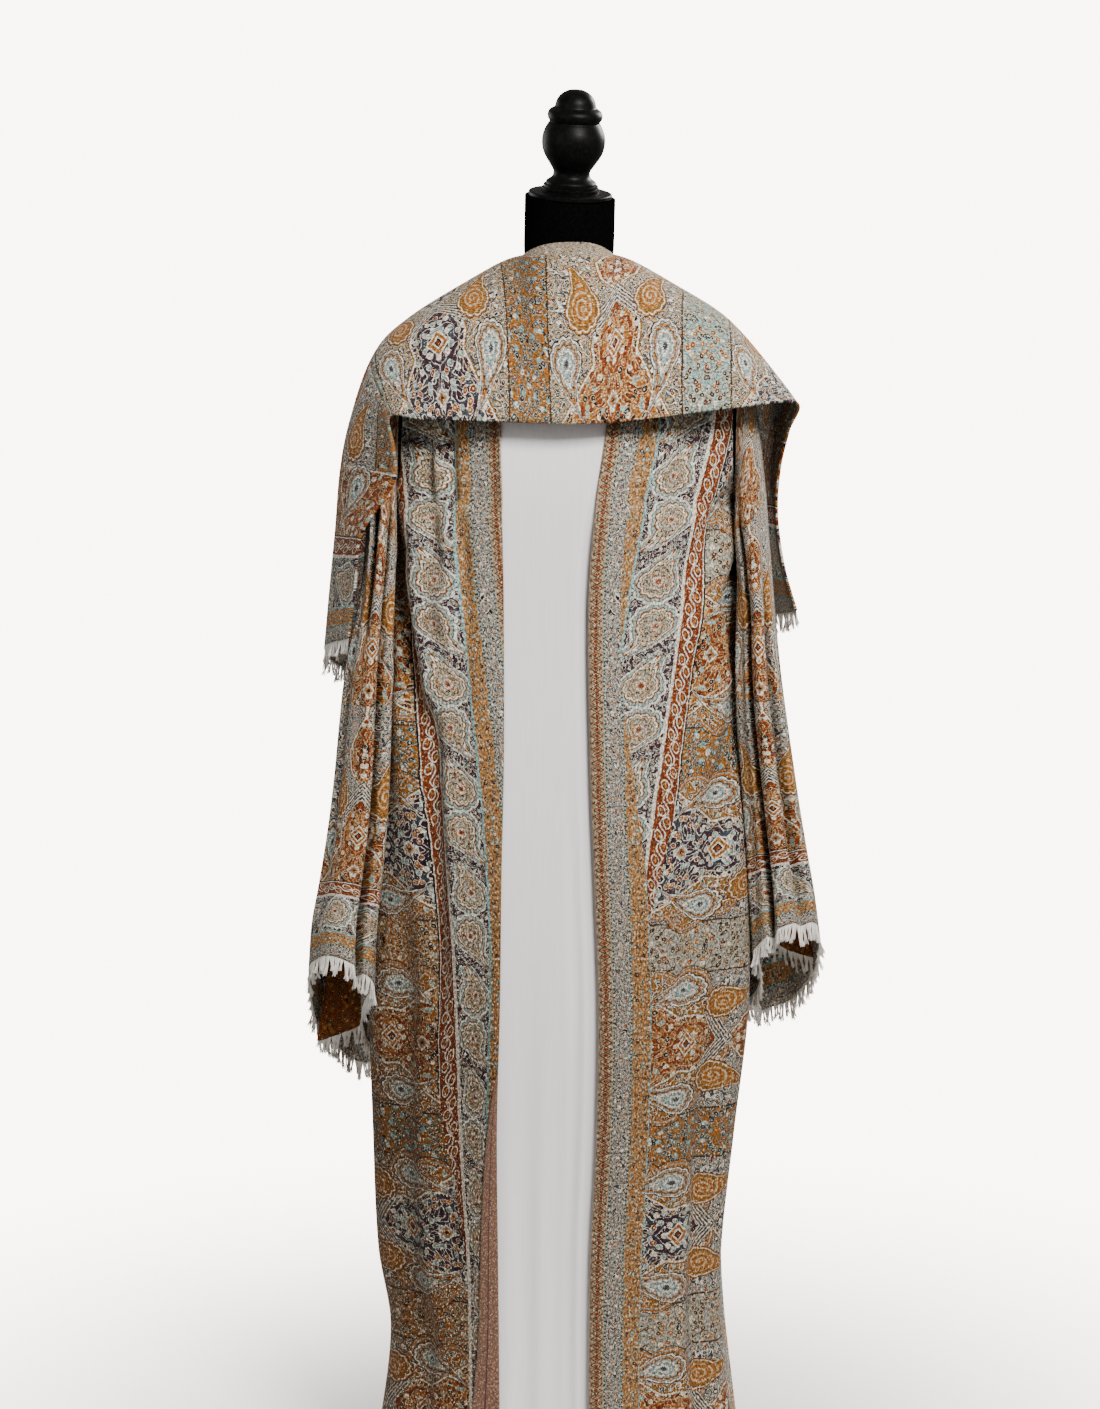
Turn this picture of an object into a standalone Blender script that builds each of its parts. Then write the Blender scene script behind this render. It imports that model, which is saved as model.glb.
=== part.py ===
"""A long open-fronted abaya of woven paisley cloth, worn by a limbless dress form.

Metres, +Z up. The front of the garment faces -Y, and the wearer's left is at +X. The foot of the
stand rests on the floor at z = 0, and the pole stands over the origin.

Every cloth piece is a grid of points on the middle of its wall, which Solidify then thickens.
"""
import bpy
import bmesh
import math
from mathutils import Vector

# Walls, in metres
CLOTH = 0.002
CREPE = 0.0015
FOLDED_SHAWL = 0.003
SEAM = 0.0002
REST = 0.0003
PANEL_SET_BACK = 0.0024

# Heights of the garment
UNDERARM_Z = 1.200
HEM_Z = 0.050

# The shoulder line, from the side of the neck to the shoulder tip
NECK_X, NECK_Z = 0.062, 1.472
TIP_X, TIP_Z = 0.192, 1.398
SHOULDER_RISE = 0.0115
ARMHOLE_HALF_DEPTH = 0.072
BACK_NECK_Y = 0.061
BACK_NECK_DROP = 0.004

# How far the cloth heads out from the shoulder line before it turns down to the underarm
FRONT_LEAVE_NECK, FRONT_LEAVE_TIP = 0.235, 0.200
FRONT_LEAVE_INWARD = 0.010
BACK_LEAVE = 0.200
BACK_NECK_LEAVE, BACK_NECK_LEAVE_DOWN = 0.080, 0.100
SIDE_LEAVE, SIDE_ARRIVE = 0.200, 0.280
UNDERARM_ARRIVE = 14.0

# Grid counts
FRONT_COLUMNS = 10
NECK_COLUMNS = 6
YOKE_ROWS = 7
YOKE_SPACING = 1.5
SKIRT_ROWS = 13
SLEEVE_SIDES = 24
SLEEVE_ROWS = 15
PANEL_COLUMNS = 7
PANEL_FIRST_ROW = 5

# Half widths and half depths of the body of the abaya, from the underarm to the hem
BODY_COLUMNS = ("z", "right", "left", "front", "back")
BODY = (
    (1.200, 0.200, 0.194, 0.132, 0.112),
    (1.050, 0.213, 0.206, 0.130, 0.114),
    (0.900, 0.221, 0.212, 0.137, 0.124),
    (0.750, 0.229, 0.216, 0.145, 0.135),
    (0.600, 0.235, 0.218, 0.150, 0.142),
    (0.450, 0.232, 0.202, 0.150, 0.147),
    (0.300, 0.226, 0.187, 0.151, 0.150),
    (0.200, 0.211, 0.190, 0.153, 0.153),
    (0.050, 0.229, 0.208, 0.158, 0.158),
)
BODY_SQUARENESS = 2.4

# Where the two front edges run, as x at each height
EDGE_COLUMNS = ("z", "right", "left")
FRONT_EDGE = (
    (1.472, -0.0620, 0.0620),
    (1.297, -0.0790, 0.0450),
    (1.208, -0.0770, 0.0320),
    (1.094, -0.0750, 0.0230),
    (0.907, -0.0750, 0.0250),
    (0.771, -0.0780, 0.0300),
    (0.623, -0.0800, 0.0350),
    (0.467, -0.0840, 0.0330),
    (0.306, -0.0830, 0.0260),
    (0.050, -0.0810, 0.0240),
)

# Long soft folds of the body. The angle goes round from the front centre past +X to the back.
FOLD_COLUMNS = ("angle", "width", "height", "top", "lean")
FOLDS = (
    (-69.0, 8.0, 0.011, 1.12, -2.0),
    (-53.0, 5.0, -0.006, 0.98, 2.0),
    (-39.0, 6.0, 0.008, 0.80, 3.0),
    (66.0, 8.0, 0.012, 1.14, -5.0),
    (51.0, 5.0, -0.006, 1.00, -3.0),
    (37.0, 6.0, 0.008, 0.76, 2.0),
    (105.0, 6.0, 0.010, 1.00, 2.0),
    (120.0, 5.0, -0.006, 0.88, 1.0),
    (135.0, 7.0, 0.015, 1.18, -3.0),
    (153.0, 5.0, -0.005, 0.80, 2.0),
    (167.0, 6.0, 0.011, 0.96, 3.0),
    (184.0, 7.0, 0.017, 1.24, 1.0),
    (203.0, 6.0, 0.010, 0.90, -2.0),
    (220.0, 7.0, 0.015, 1.20, 3.0),
    (238.0, 5.0, -0.006, 0.84, 0.0),
    (252.0, 6.0, 0.010, 1.02, -2.0),
)
FOLD_GROWTH = 0.42

# Sleeve rings, as the outermost and innermost point of each, on the wearer's right and left
RING_COLUMNS = ("outer_x", "outer_z", "inner_x", "inner_z", "half_depth", "mid_y", "slant")
SLEEVE_RIGHT = (
    (0.1937, 1.398, 0.2018, 1.200, 0.072, 0.000, 0.00),
    (0.2160, 1.356, 0.2095, 1.199, 0.074, 0.000, 0.00),
    (0.2290, 1.296, 0.2120, 1.184, 0.077, -0.004, 0.00),
    (0.2350, 1.226, 0.2110, 1.155, 0.081, -0.010, 0.00),
    (0.2390, 1.150, 0.2070, 1.115, 0.085, -0.014, 0.00),
    (0.2470, 1.080, 0.2040, 1.062, 0.090, -0.017, 0.00),
    (0.2610, 1.010, 0.2040, 1.005, 0.096, -0.018, 0.00),
    (0.2690, 0.940, 0.2050, 0.940, 0.100, -0.018, 0.03),
    (0.2760, 0.870, 0.2070, 0.868, 0.104, -0.016, 0.08),
    (0.2850, 0.800, 0.2110, 0.793, 0.108, -0.012, 0.16),
    (0.2950, 0.730, 0.2170, 0.716, 0.112, -0.008, 0.34),
    (0.3050, 0.664, 0.2220, 0.642, 0.115, -0.004, 0.56),
    (0.3120, 0.596, 0.2230, 0.562, 0.117, 0.000, 0.78),
)
SLEEVE_LEFT = (
    (0.1937, 1.398, 0.1958, 1.200, 0.072, 0.000, 0.00),
    (0.2120, 1.356, 0.2035, 1.199, 0.074, 0.000, 0.00),
    (0.2230, 1.296, 0.2070, 1.184, 0.077, -0.004, 0.00),
    (0.2310, 1.226, 0.2060, 1.155, 0.081, -0.010, 0.00),
    (0.2370, 1.150, 0.2010, 1.118, 0.084, -0.016, 0.00),
    (0.2430, 1.080, 0.1970, 1.068, 0.088, -0.020, 0.00),
    (0.2500, 1.010, 0.1960, 1.008, 0.091, -0.022, 0.00),
    (0.2580, 0.950, 0.1980, 0.948, 0.094, -0.022, 0.03),
    (0.2670, 0.890, 0.2020, 0.886, 0.097, -0.018, 0.08),
    (0.2760, 0.830, 0.2060, 0.824, 0.100, -0.014, 0.18),
    (0.2860, 0.770, 0.2090, 0.760, 0.104, -0.008, 0.32),
    (0.2960, 0.710, 0.2120, 0.690, 0.107, -0.004, 0.50),
    (0.3040, 0.648, 0.2140, 0.618, 0.109, 0.000, 0.70),
)
SLEEVE_SQUARENESS = 2.3
SLEEVE_CLEAR = 0.006

# Creases that run down a sleeve. The angle goes from the outer line round by the front.
CREASE_COLUMNS = ("angle", "width", "depth", "start", "end", "drift")
SLEEVE_CREASES = {
    "right": (
        (72.0, 13.0, -0.010, 0.28, 1.10, 8.0),
        (108.0, 11.0, -0.008, 0.20, 1.00, 4.0),
        (140.0, 12.0, 0.006, 0.30, 1.10, 0.0),
        (236.0, 15.0, -0.009, 0.35, 1.10, -6.0),
        (288.0, 15.0, -0.010, 0.25, 1.10, 4.0),
        (330.0, 14.0, 0.004, 0.40, 1.10, 0.0),
    ),
    "left": (
        (66.0, 12.0, -0.008, 0.34, 1.10, 6.0),
        (118.0, 12.0, -0.009, 0.24, 1.05, -4.0),
        (92.0, 10.0, 0.005, 0.30, 0.90, 0.0),
        (230.0, 14.0, -0.010, 0.30, 1.10, 6.0),
        (276.0, 14.0, -0.007, 0.22, 1.10, -4.0),
        (318.0, 15.0, -0.006, 0.45, 1.10, 0.0),
    ),
}

# Stations along the folded shawl, from the end of the right tail to the end of the left one.
# Four points cross it at each: back edge, top of the shoulder, front, and front or lower edge.
SHAWL_COLUMNS = ("back", "over", "front", "edge")
SHAWL = (
    ((-0.236, 0.112, 0.986), (-0.279, 0.060, 0.996), (-0.290, -0.006, 1.026), (-0.258, -0.066, 1.042)),
    ((-0.230, 0.120, 1.080), (-0.272, 0.058, 1.084), (-0.283, -0.008, 1.094), (-0.249, -0.076, 1.104)),
    ((-0.224, 0.120, 1.160), (-0.265, 0.056, 1.162), (-0.275, -0.016, 1.164), (-0.240, -0.100, 1.166)),
    ((-0.218, 0.116, 1.232), (-0.257, 0.054, 1.233), (-0.266, -0.030, 1.233), (-0.201, -0.122, 1.228)),
    ((-0.213, 0.106, 1.292), (-0.248, 0.048, 1.295), (-0.254, -0.038, 1.290), (-0.200, -0.122, 1.266)),
    ((-0.206, 0.094, 1.348), (-0.225, 0.032, 1.374), (-0.229, -0.046, 1.357), (-0.205, -0.116, 1.303)),
    ((-0.172, 0.080, 1.392), (-0.189, 0.007, 1.4135), (-0.186, -0.065, 1.388), (-0.168, -0.134, 1.301)),
    ((-0.122, 0.060, 1.432), (-0.124, 0.000, 1.4538), (-0.120, -0.078, 1.412), (-0.115, -0.145, 1.300)),
    ((-0.074, 0.022, 1.471), (-0.071, -0.020, 1.4785), (-0.064, -0.092, 1.412), (-0.060, -0.150, 1.298)),
    ((-0.038, -0.050, 1.495), (-0.037, -0.074, 1.476), (-0.034, -0.118, 1.395), (-0.030, -0.152, 1.297)),
    ((0.002, -0.062, 1.501), (0.002, -0.082, 1.478), (0.002, -0.121, 1.394), (0.002, -0.153, 1.296)),
    ((0.038, -0.050, 1.496), (0.037, -0.074, 1.477), (0.036, -0.118, 1.396), (0.032, -0.152, 1.297)),
    ((0.074, 0.022, 1.471), (0.071, -0.020, 1.4785), (0.066, -0.092, 1.412), (0.062, -0.150, 1.299)),
    ((0.124, 0.060, 1.432), (0.128, 0.000, 1.4512), (0.124, -0.078, 1.412), (0.122, -0.144, 1.306)),
    ((0.176, 0.080, 1.396), (0.190, 0.008, 1.4110), (0.192, -0.066, 1.388), (0.190, -0.130, 1.314)),
    ((0.214, 0.096, 1.342), (0.234, 0.042, 1.350), (0.253, -0.030, 1.335), (0.262, -0.094, 1.318)),
    ((0.216, 0.114, 1.298), (0.236, 0.072, 1.294), (0.251, 0.010, 1.288), (0.257, -0.052, 1.284)),
    ((0.212, 0.130, 1.236), (0.234, 0.092, 1.236), (0.245, 0.040, 1.236), (0.250, -0.016, 1.238)),
    ((0.214, 0.138, 1.180), (0.237, 0.100, 1.180), (0.248, 0.050, 1.182), (0.248, -0.006, 1.184)),
    ((0.220, 0.142, 1.120), (0.245, 0.106, 1.120), (0.256, 0.055, 1.120), (0.257, -0.003, 1.122)),
    ((0.228, 0.146, 1.052), (0.255, 0.110, 1.054), (0.268, 0.062, 1.060), (0.273, 0.002, 1.068)),
)
RIGHT_SHOULDER_STATION = 5
LEFT_SHOULDER_STATION = 15
STRETCH_GAP = 0.05
SHAWL_CHEST_COLUMNS = 26
SHAWL_TAIL_COLUMNS = 10
SHAWL_CROSS_ROWS = 9

# Fringes: narrow woven strip, then strands
STRIP_DEPTH = 0.004
CUFF_STRANDS = 36
TAIL_STRANDS = 22
STRAND_LENGTH = 0.019
STRAND_TAPER = 0.45

# Torso of the dress form below the shoulders, as half widths and half depths
TORSO_COLUMNS = ("z", "half_width", "front", "back")
TORSO = (
    (0.790, 0.120, 0.080, 0.085),
    (0.810, 0.152, 0.100, 0.108),
    (0.890, 0.165, 0.108, 0.116),
    (0.970, 0.155, 0.100, 0.104),
    (1.070, 0.124, 0.086, 0.082),
    (1.160, 0.134, 0.094, 0.086),
    (1.250, 0.156, 0.110, 0.094),
    (1.320, 0.168, 0.088, 0.084),
    (1.370, 0.180, 0.062, 0.062),
)
TORSO_SIDES = 24
TORSO_SQUARENESS = 2.3
SHOULDER_SQUARENESS = 2.0
SHOULDER_HALF_DEPTH_TIP = 0.050
SHOULDER_HALF_DEPTH_NECK = 0.022

# Neck of the form, whose top slants to the front and slightly to one side
NECK_RADIUS = 0.0530
NECK_TOP = Vector((0.002, -0.006, 1.5555))
NECK_SLANT_FRONT = 0.20
NECK_SLANT_SIDE = 0.06
NECK_RINGS = 3
NECK_FOOT_DROP = 0.004
NECK_FOOT_SHARE = 0.92

# Turned cap on the neck, as radius and height above the flange's underside
FINIAL_COLUMNS = ("radius", "height")
FINIAL = (
    (0.0475, 0.0000),
    (0.0490, 0.0012),
    (0.0490, 0.0045),
    (0.0478, 0.0056),
    (0.0352, 0.0062),
    (0.0340, 0.0079),
    (0.0342, 0.0102),
    (0.0318, 0.0112),
    (0.0320, 0.0140),
    (0.0296, 0.0150),
    (0.0292, 0.0178),
    (0.0232, 0.0225),
    (0.0215, 0.0268),
    (0.0222, 0.0315),
    (0.0285, 0.0409),
    (0.0345, 0.0513),
    (0.0369, 0.0627),
    (0.0357, 0.0740),
    (0.0312, 0.0839),
    (0.0292, 0.0868),
    (0.0316, 0.0910),
    (0.0320, 0.0958),
    (0.0300, 0.1000),
    (0.0258, 0.1028),
    (0.0242, 0.1043),
    (0.0222, 0.1118),
    (0.0172, 0.1184),
    (0.0100, 0.1227),
    (0.0040, 0.1239),
)
FINIAL_SIDES = 20

# Stand
BASE_RADIUS = 0.165
BASE_THICKNESS = 0.018
BASE_BEVEL = 0.005
POLE_RADIUS = 0.014
POLE_COLLAR_RADIUS = 0.040
POLE_COLLAR_HEIGHT = 0.030
POLE_FOOT_RADIUS = 0.034
POLE_FOOT_HEIGHT = 0.022
POLE_SIDES = 20


def clear_scene():
    for item in list(bpy.data.objects):
        bpy.data.objects.remove(item, do_unlink=True)


def surface(name, colour, roughness, metallic=0.0):
    """A plain material with one colour, roughness and metallic value."""
    made = bpy.data.materials.new(name)
    made.use_nodes = True
    shader = made.node_tree.nodes["Principled BSDF"]
    shader.inputs["Base Color"].default_value = (*colour, 1.0)
    shader.inputs["Roughness"].default_value = roughness
    shader.inputs["Metallic"].default_value = metallic
    return made


def place(name, mesh, material):
    item = bpy.data.objects.new(name, mesh)
    bpy.context.collection.objects.link(item)
    mesh.materials.append(material)
    mesh.shade_smooth()
    mesh.set_sharp_from_angle(angle=math.radians(40.0))
    return item


def read(table, columns, at, column, key=0):
    """A column of a table, read smoothly at a value of its key column, which rises or falls."""
    number = columns.index(column)
    rows = table if table[0][key] < table[-1][key] else table[::-1]
    last = len(rows) - 1
    at = min(max(at, rows[0][key]), rows[last][key])
    low = 0
    while low < last - 1 and rows[low + 1][key] < at:
        low += 1

    def slope(index):
        before = rows[max(index - 1, 0)]
        after = rows[min(index + 1, last)]
        return (after[number] - before[number]) / (after[key] - before[key])

    step = rows[low + 1][key] - rows[low][key]
    t = (at - rows[low][key]) / step
    return hermite(rows[low][number], rows[low + 1][number], slope(low) * step, slope(low + 1) * step, t)


def hermite(start, end, leave, arrive, t):
    """A cubic from start to end with the given slopes, for numbers or vectors."""
    return (
        start * (2 * t**3 - 3 * t**2 + 1)
        + leave * (t**3 - 2 * t**2 + t)
        + end * (3 * t**2 - 2 * t**3)
        + arrive * (t**3 - t**2)
    )


def through(points, t):
    """A smooth curve through evenly spaced points, t from 0 to 1."""
    last = len(points) - 1
    low = min(int(t * last), last - 1)

    def slope(index):
        before = max(index - 1, 0)
        after = min(index + 1, last)
        return (points[after] - points[before]) / (after - before)

    return hermite(points[low], points[low + 1], slope(low), slope(low + 1), t * last - low)


def ease(t):
    t = min(max(t, 0.0), 1.0)
    return t * t * (3.0 - 2.0 * t)


def bump(distance, width):
    """A rounded hump that is 1 at the middle and 0 past twice its width."""
    away = abs(distance) / (2.0 * width)
    return (1.0 - away * away) ** 2 if away < 1.0 else 0.0


def power(value, exponent):
    return math.copysign(abs(value) ** exponent, value)


def shoulder(t):
    """A point of the shoulder line, t = 0 at the neck and 1 at the tip, on the +X side."""
    x = NECK_X + (TIP_X - NECK_X) * t
    z = NECK_Z + (TIP_Z - NECK_Z) * t + SHOULDER_RISE * 4.0 * t * (1.0 - t)
    return Vector((x, 0.0, z))


def fold_height(angle, z):
    """How far the long folds stand out of the body at an angle and a height."""
    total = 0.0
    for centre, width, height, top, lean in FOLDS:
        grown = ease((top - z) / FOLD_GROWTH)
        moved = centre + lean * (top - z)
        total += height * grown * bump(angle - moved, width)
    return total


def body_point(angle, z):
    """A point of the body below the underarm, the angle in degrees from the front centre."""
    turn = math.radians(angle)
    across = read(BODY, BODY_COLUMNS, z, "left" if math.sin(turn) >= 0.0 else "right")
    deep = read(BODY, BODY_COLUMNS, z, "front" if math.cos(turn) >= 0.0 else "back")
    exponent = 2.0 / BODY_SQUARENESS
    out = fold_height(angle if angle > -90.0 else angle + 360.0, z)
    x = (across + out) * power(math.sin(turn), exponent)
    y = -(deep + out) * power(math.cos(turn), exponent)
    return Vector((x, y, z))


def edge_angle(side, z):
    """The angle at which a front's opening edge lies at a height."""
    name = "left" if side > 0 else "right"
    x = abs(read(FRONT_EDGE, EDGE_COLUMNS, z, name))
    across = read(BODY, BODY_COLUMNS, z, name)
    return math.degrees(math.asin((x / across) ** (BODY_SQUARENESS / 2.0)))


def armhole_point(side, facing, z):
    """A point of the armhole's edge at a height between the shoulder tip and the underarm."""
    share = min(max((TIP_Z - z) / (TIP_Z - UNDERARM_Z), 0.0), 1.0)
    bottom_x = read(BODY, BODY_COLUMNS, UNDERARM_Z, "left" if side > 0 else "right")
    x = TIP_X + (bottom_x - TIP_X) * share
    y = facing * ARMHOLE_HALF_DEPTH * math.sqrt(max(0.0, 1.0 - (2.0 * share - 1.0) ** 2))
    return Vector((side * x, y, z))


def yoke_point(side, facing, start, leave, angle, t, nearness):
    """Cloth that runs from the shoulder line down to the underarm, t from 0 to 1."""
    end = body_point(angle, UNDERARM_Z)
    below = body_point(angle, UNDERARM_Z - 0.02)
    arrive = (below - end) * UNDERARM_ARRIVE
    plain = hermite(start, end, leave, arrive, t)
    tip = shoulder(1.0)
    tip.x *= side
    side_end = body_point(90.0 * side, UNDERARM_Z)
    side_leave = Vector((0.0, facing * SIDE_LEAVE, 0.0))
    side_arrive = Vector((0.0, 0.0, -SIDE_ARRIVE))
    side_plain = hermite(tip, side_end, side_leave, side_arrive, t)
    wanted = armhole_point(side, facing, side_plain.z)
    return plain + (wanted - side_plain) * nearness**3


def front_point(side, u, v):
    """A front panel: u from the opening edge to the side, v from the shoulder to the hem."""
    yoke_share = YOKE_ROWS / (YOKE_ROWS + SKIRT_ROWS)
    if v < yoke_share:
        t = (v / yoke_share) ** YOKE_SPACING
        opening = edge_angle(side, UNDERARM_Z)
        angle = opening + (90.0 - opening) * u
        start = shoulder(u)
        start.x *= side
        forward = FRONT_LEAVE_NECK + (FRONT_LEAVE_TIP - FRONT_LEAVE_NECK) * u
        leave = Vector((-side * FRONT_LEAVE_INWARD * (1.0 - u), -forward, 0.0))
        point = yoke_point(side, -1.0, start, leave, side * angle, t, u)
        if u < 1.0:
            name = "left" if side > 0 else "right"
            wanted = read(FRONT_EDGE, EDGE_COLUMNS, point.z, name)
            point.x += (wanted - point.x) * (1.0 - u) ** 3 * ease(t * 2.0)
    else:
        t = (v - yoke_share) / (1.0 - yoke_share)
        z = UNDERARM_Z + (HEM_Z - UNDERARM_Z) * t
        opening = edge_angle(side, z)
        point = body_point(side * (opening + (90.0 - opening) * u), z)
    return point + Vector((0.0, -SEAM, 0.0))


def back_point(u, v):
    """The back panel: u from the wearer's left side round to the right, v from top to hem."""
    columns = 2 * FRONT_COLUMNS + NECK_COLUMNS
    angle = 90.0 + 180.0 * u
    place_across = u * columns
    side = 1.0 if u < 0.5 else -1.0
    from_side = min(place_across, columns - place_across)
    yoke_share = YOKE_ROWS / (YOKE_ROWS + SKIRT_ROWS)
    if v >= yoke_share:
        t = (v - yoke_share) / (1.0 - yoke_share)
        return body_point(angle, UNDERARM_Z + (HEM_Z - UNDERARM_Z) * t) + Vector((0.0, SEAM, 0.0))
    if from_side <= FRONT_COLUMNS:
        along = 1.0 - from_side / FRONT_COLUMNS
        start = shoulder(along)
        start.x *= side
        leave = Vector((0.0, BACK_LEAVE, 0.0))
        nearness = along
    else:
        turn = math.pi * (place_across - FRONT_COLUMNS) / NECK_COLUMNS
        behind = math.sin(turn)
        start = Vector((NECK_X * math.cos(turn), BACK_NECK_Y * behind, NECK_Z - BACK_NECK_DROP * behind))
        backward = BACK_LEAVE + (BACK_NECK_LEAVE - BACK_LEAVE) * behind
        leave = Vector((0.0, backward, -BACK_NECK_LEAVE_DOWN * behind))
        nearness = 0.0
    t = (v / yoke_share) ** YOKE_SPACING
    return yoke_point(side, 1.0, start, leave, angle, t, nearness) + Vector((0.0, SEAM, 0.0))


def sleeve_point(side, turn, along):
    """A sleeve: turn in degrees from its outer line round by the front, along from 0 to 1."""
    table = SLEEVE_LEFT if side > 0 else SLEEVE_RIGHT
    values = {
        name: through([row[index] for row in table], along)
        for index, name in enumerate(RING_COLUMNS)
    }
    around = math.radians(turn)
    exponent = 2.0 / (2.0 + (SLEEVE_SQUARENESS - 2.0) * ease(along * 4.0))
    crease = 0.0
    for centre, width, depth, start, end, drift in SLEEVE_CREASES["left" if side > 0 else "right"]:
        grown = ease((along - start) / 0.22) * ease((end - along) / 0.2)
        crease += depth * grown * bump(turn - centre - drift * along, width)
    outer = Vector((values["outer_x"], 0.0, values["outer_z"]))
    inner = Vector((values["inner_x"], 0.0, values["inner_z"]))
    middle = (outer + inner) * 0.5
    half = (outer - inner) * 0.5
    half_length = half.length
    out = power(math.cos(around), exponent)
    forward = power(math.sin(around), exponent)
    point = middle + half * (out * (1.0 + crease / half_length * 0.6))
    point.y = values["mid_y"] - forward * (values["half_depth"] + crease)
    point.z -= values["slant"] * point.y
    if along > 0.12:
        point.x = max(point.x, body_reach(side, point.y, point.z) + SLEEVE_CLEAR)
    point.x *= side
    return point


def body_reach(side, y, z):
    """How far out the body reaches at a place along the depth, for the sleeve to stay clear."""
    z = min(z, UNDERARM_Z)
    across = read(BODY, BODY_COLUMNS, z, "left" if side > 0 else "right")
    deep = read(BODY, BODY_COLUMNS, z, "front" if y < 0.0 else "back")
    share = min(abs(y) / (deep + 0.010), 1.0)
    return (across + 0.009) * (1.0 - share**BODY_SQUARENESS) ** (1.0 / BODY_SQUARENESS)


def shawl_point(station, across):
    """The folded shawl: station counts along its table, across from back edge to front edge."""
    share = station / (len(SHAWL) - 1)
    lines = []
    for column in range(len(SHAWL_COLUMNS)):
        lines.append(through([Vector(row[column]) for row in SHAWL], share))
    return through(lines, across)


def grid_mesh(name, points, closed):
    """A mesh from rows of points; a closed one joins the end of each row to its start."""
    mesh = bpy.data.meshes.new(name)
    wide = len(points[0])
    flat = [point for row in points for point in row]
    faces = []
    for row in range(len(points) - 1):
        for column in range(wide if closed else wide - 1):
            after = (column + 1) % wide
            faces.append((
                row * wide + column,
                row * wide + after,
                (row + 1) * wide + after,
                (row + 1) * wide + column,
            ))
    mesh.from_pydata(flat, [], faces)
    return mesh


def cloth(name, points, thickness, material, closed=False):
    """A piece of cloth: its grid of points thickened evenly to both sides."""
    item = place(name, grid_mesh(name, points, closed), material)
    wall = item.modifiers.new("wall", "SOLIDIFY")
    wall.thickness = thickness
    wall.offset = 0.0
    wall.use_even_offset = False
    wall.use_quality_normals = True
    return item


def lathe(name, profile, sides, material, transform=None):
    """A turned solid about the Z axis from a profile of radius and height, bottom to top."""
    rows = []
    for radius, height in profile:
        rows.append([
            Vector((
                radius * math.cos(2.0 * math.pi * side / sides),
                radius * math.sin(2.0 * math.pi * side / sides),
                height,
            ))
            for side in range(sides)
        ])
    return capped(name, rows, material, transform)


def capped(name, rows, material, transform=None):
    """A closed solid through rings of points, with a flat face on each end."""
    mesh = grid_mesh(name, rows, True)
    shape = bmesh.new()
    shape.from_mesh(mesh)
    shape.verts.ensure_lookup_table()
    count = len(rows[0])
    shape.faces.new([shape.verts[index] for index in range(count)][::-1])
    shape.faces.new(shape.verts[len(rows) * count - count + index] for index in range(count))
    bmesh.ops.recalc_face_normals(shape, faces=shape.faces)
    if transform is not None:
        bmesh.ops.transform(shape, matrix=transform, verts=shape.verts)
    shape.to_mesh(mesh)
    shape.free()
    return place(name, mesh, material)


def fringe(name, line, thickness, strand_count, length, material, closed):
    """A narrow strip along a line of (point, outward, down), with tapering strands below it."""
    shape = bmesh.new()
    sections = []
    for point, outward, down in line:
        half = outward * (thickness * 0.5)
        low = down * STRIP_DEPTH
        sections.append([
            shape.verts.new(point + half),
            shape.verts.new(point + half + low),
            shape.verts.new(point - half + low),
            shape.verts.new(point - half),
        ])
    count = len(sections)
    undersides = []
    for index in range(count if closed else count - 1):
        first, second = sections[index], sections[(index + 1) % count]
        for corner in range(4):
            after = (corner + 1) % 4
            face = shape.faces.new((first[corner], first[after], second[after], second[corner]))
            if corner == 1:
                undersides.append(face)
    if not closed:
        shape.faces.new(sections[0][::-1])
        shape.faces.new(sections[-1])
    bmesh.ops.recalc_face_normals(shape, faces=shape.faces)
    for index in range(strand_count):
        face = undersides[2 * index + 1] if not closed else undersides[2 * index]
        middle = face.calc_center_median()
        down = line[2 * index][2]
        out = bmesh.ops.extrude_discrete_faces(shape, faces=[face])["faces"][0]
        sway = 0.08 * math.sin(2.4 * index) + 0.04 * math.sin(5.1 * index)
        reach = length * (1.0 + 0.16 * math.sin(1.7 * index) + 0.10 * math.sin(4.3 * index))
        along = (line_direction(line, 2 * index) * sway + down).normalized()
        for vertex in out.verts:
            vertex.co = middle + (vertex.co - middle) * STRAND_TAPER + along * reach
    mesh = bpy.data.meshes.new(name)
    shape.to_mesh(mesh)
    shape.free()
    return place(name, mesh, material)


def line_direction(line, index):
    """The direction of a fringe's line at one of its places."""
    after = min(index + 1, len(line) - 1)
    before = max(index - 1, 0)
    return (line[after][0] - line[before][0]).normalized()


def edge_line(edge, row_above, parts, closed, gap):
    """Places just past a cloth's last row of points, with outward and downward directions."""
    last = len(edge) if closed else len(edge) - 1
    line = []
    for index in range(last * parts if closed else last * parts + 1):
        low = min(index // parts, last - 1)
        share = index / parts - low
        after = (low + 1) % len(edge)
        here = edge[low].lerp(edge[after], share)
        above = row_above[low].lerp(row_above[after], share)
        if share == 0.0 and (closed or low > 0):
            along = edge[after] - edge[low - 1]
        else:
            along = edge[after] - edge[low]
        down = (here - above).normalized()
        outward = along.cross(down).normalized()
        line.append((here + down * gap, outward, down))
    return line


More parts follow.
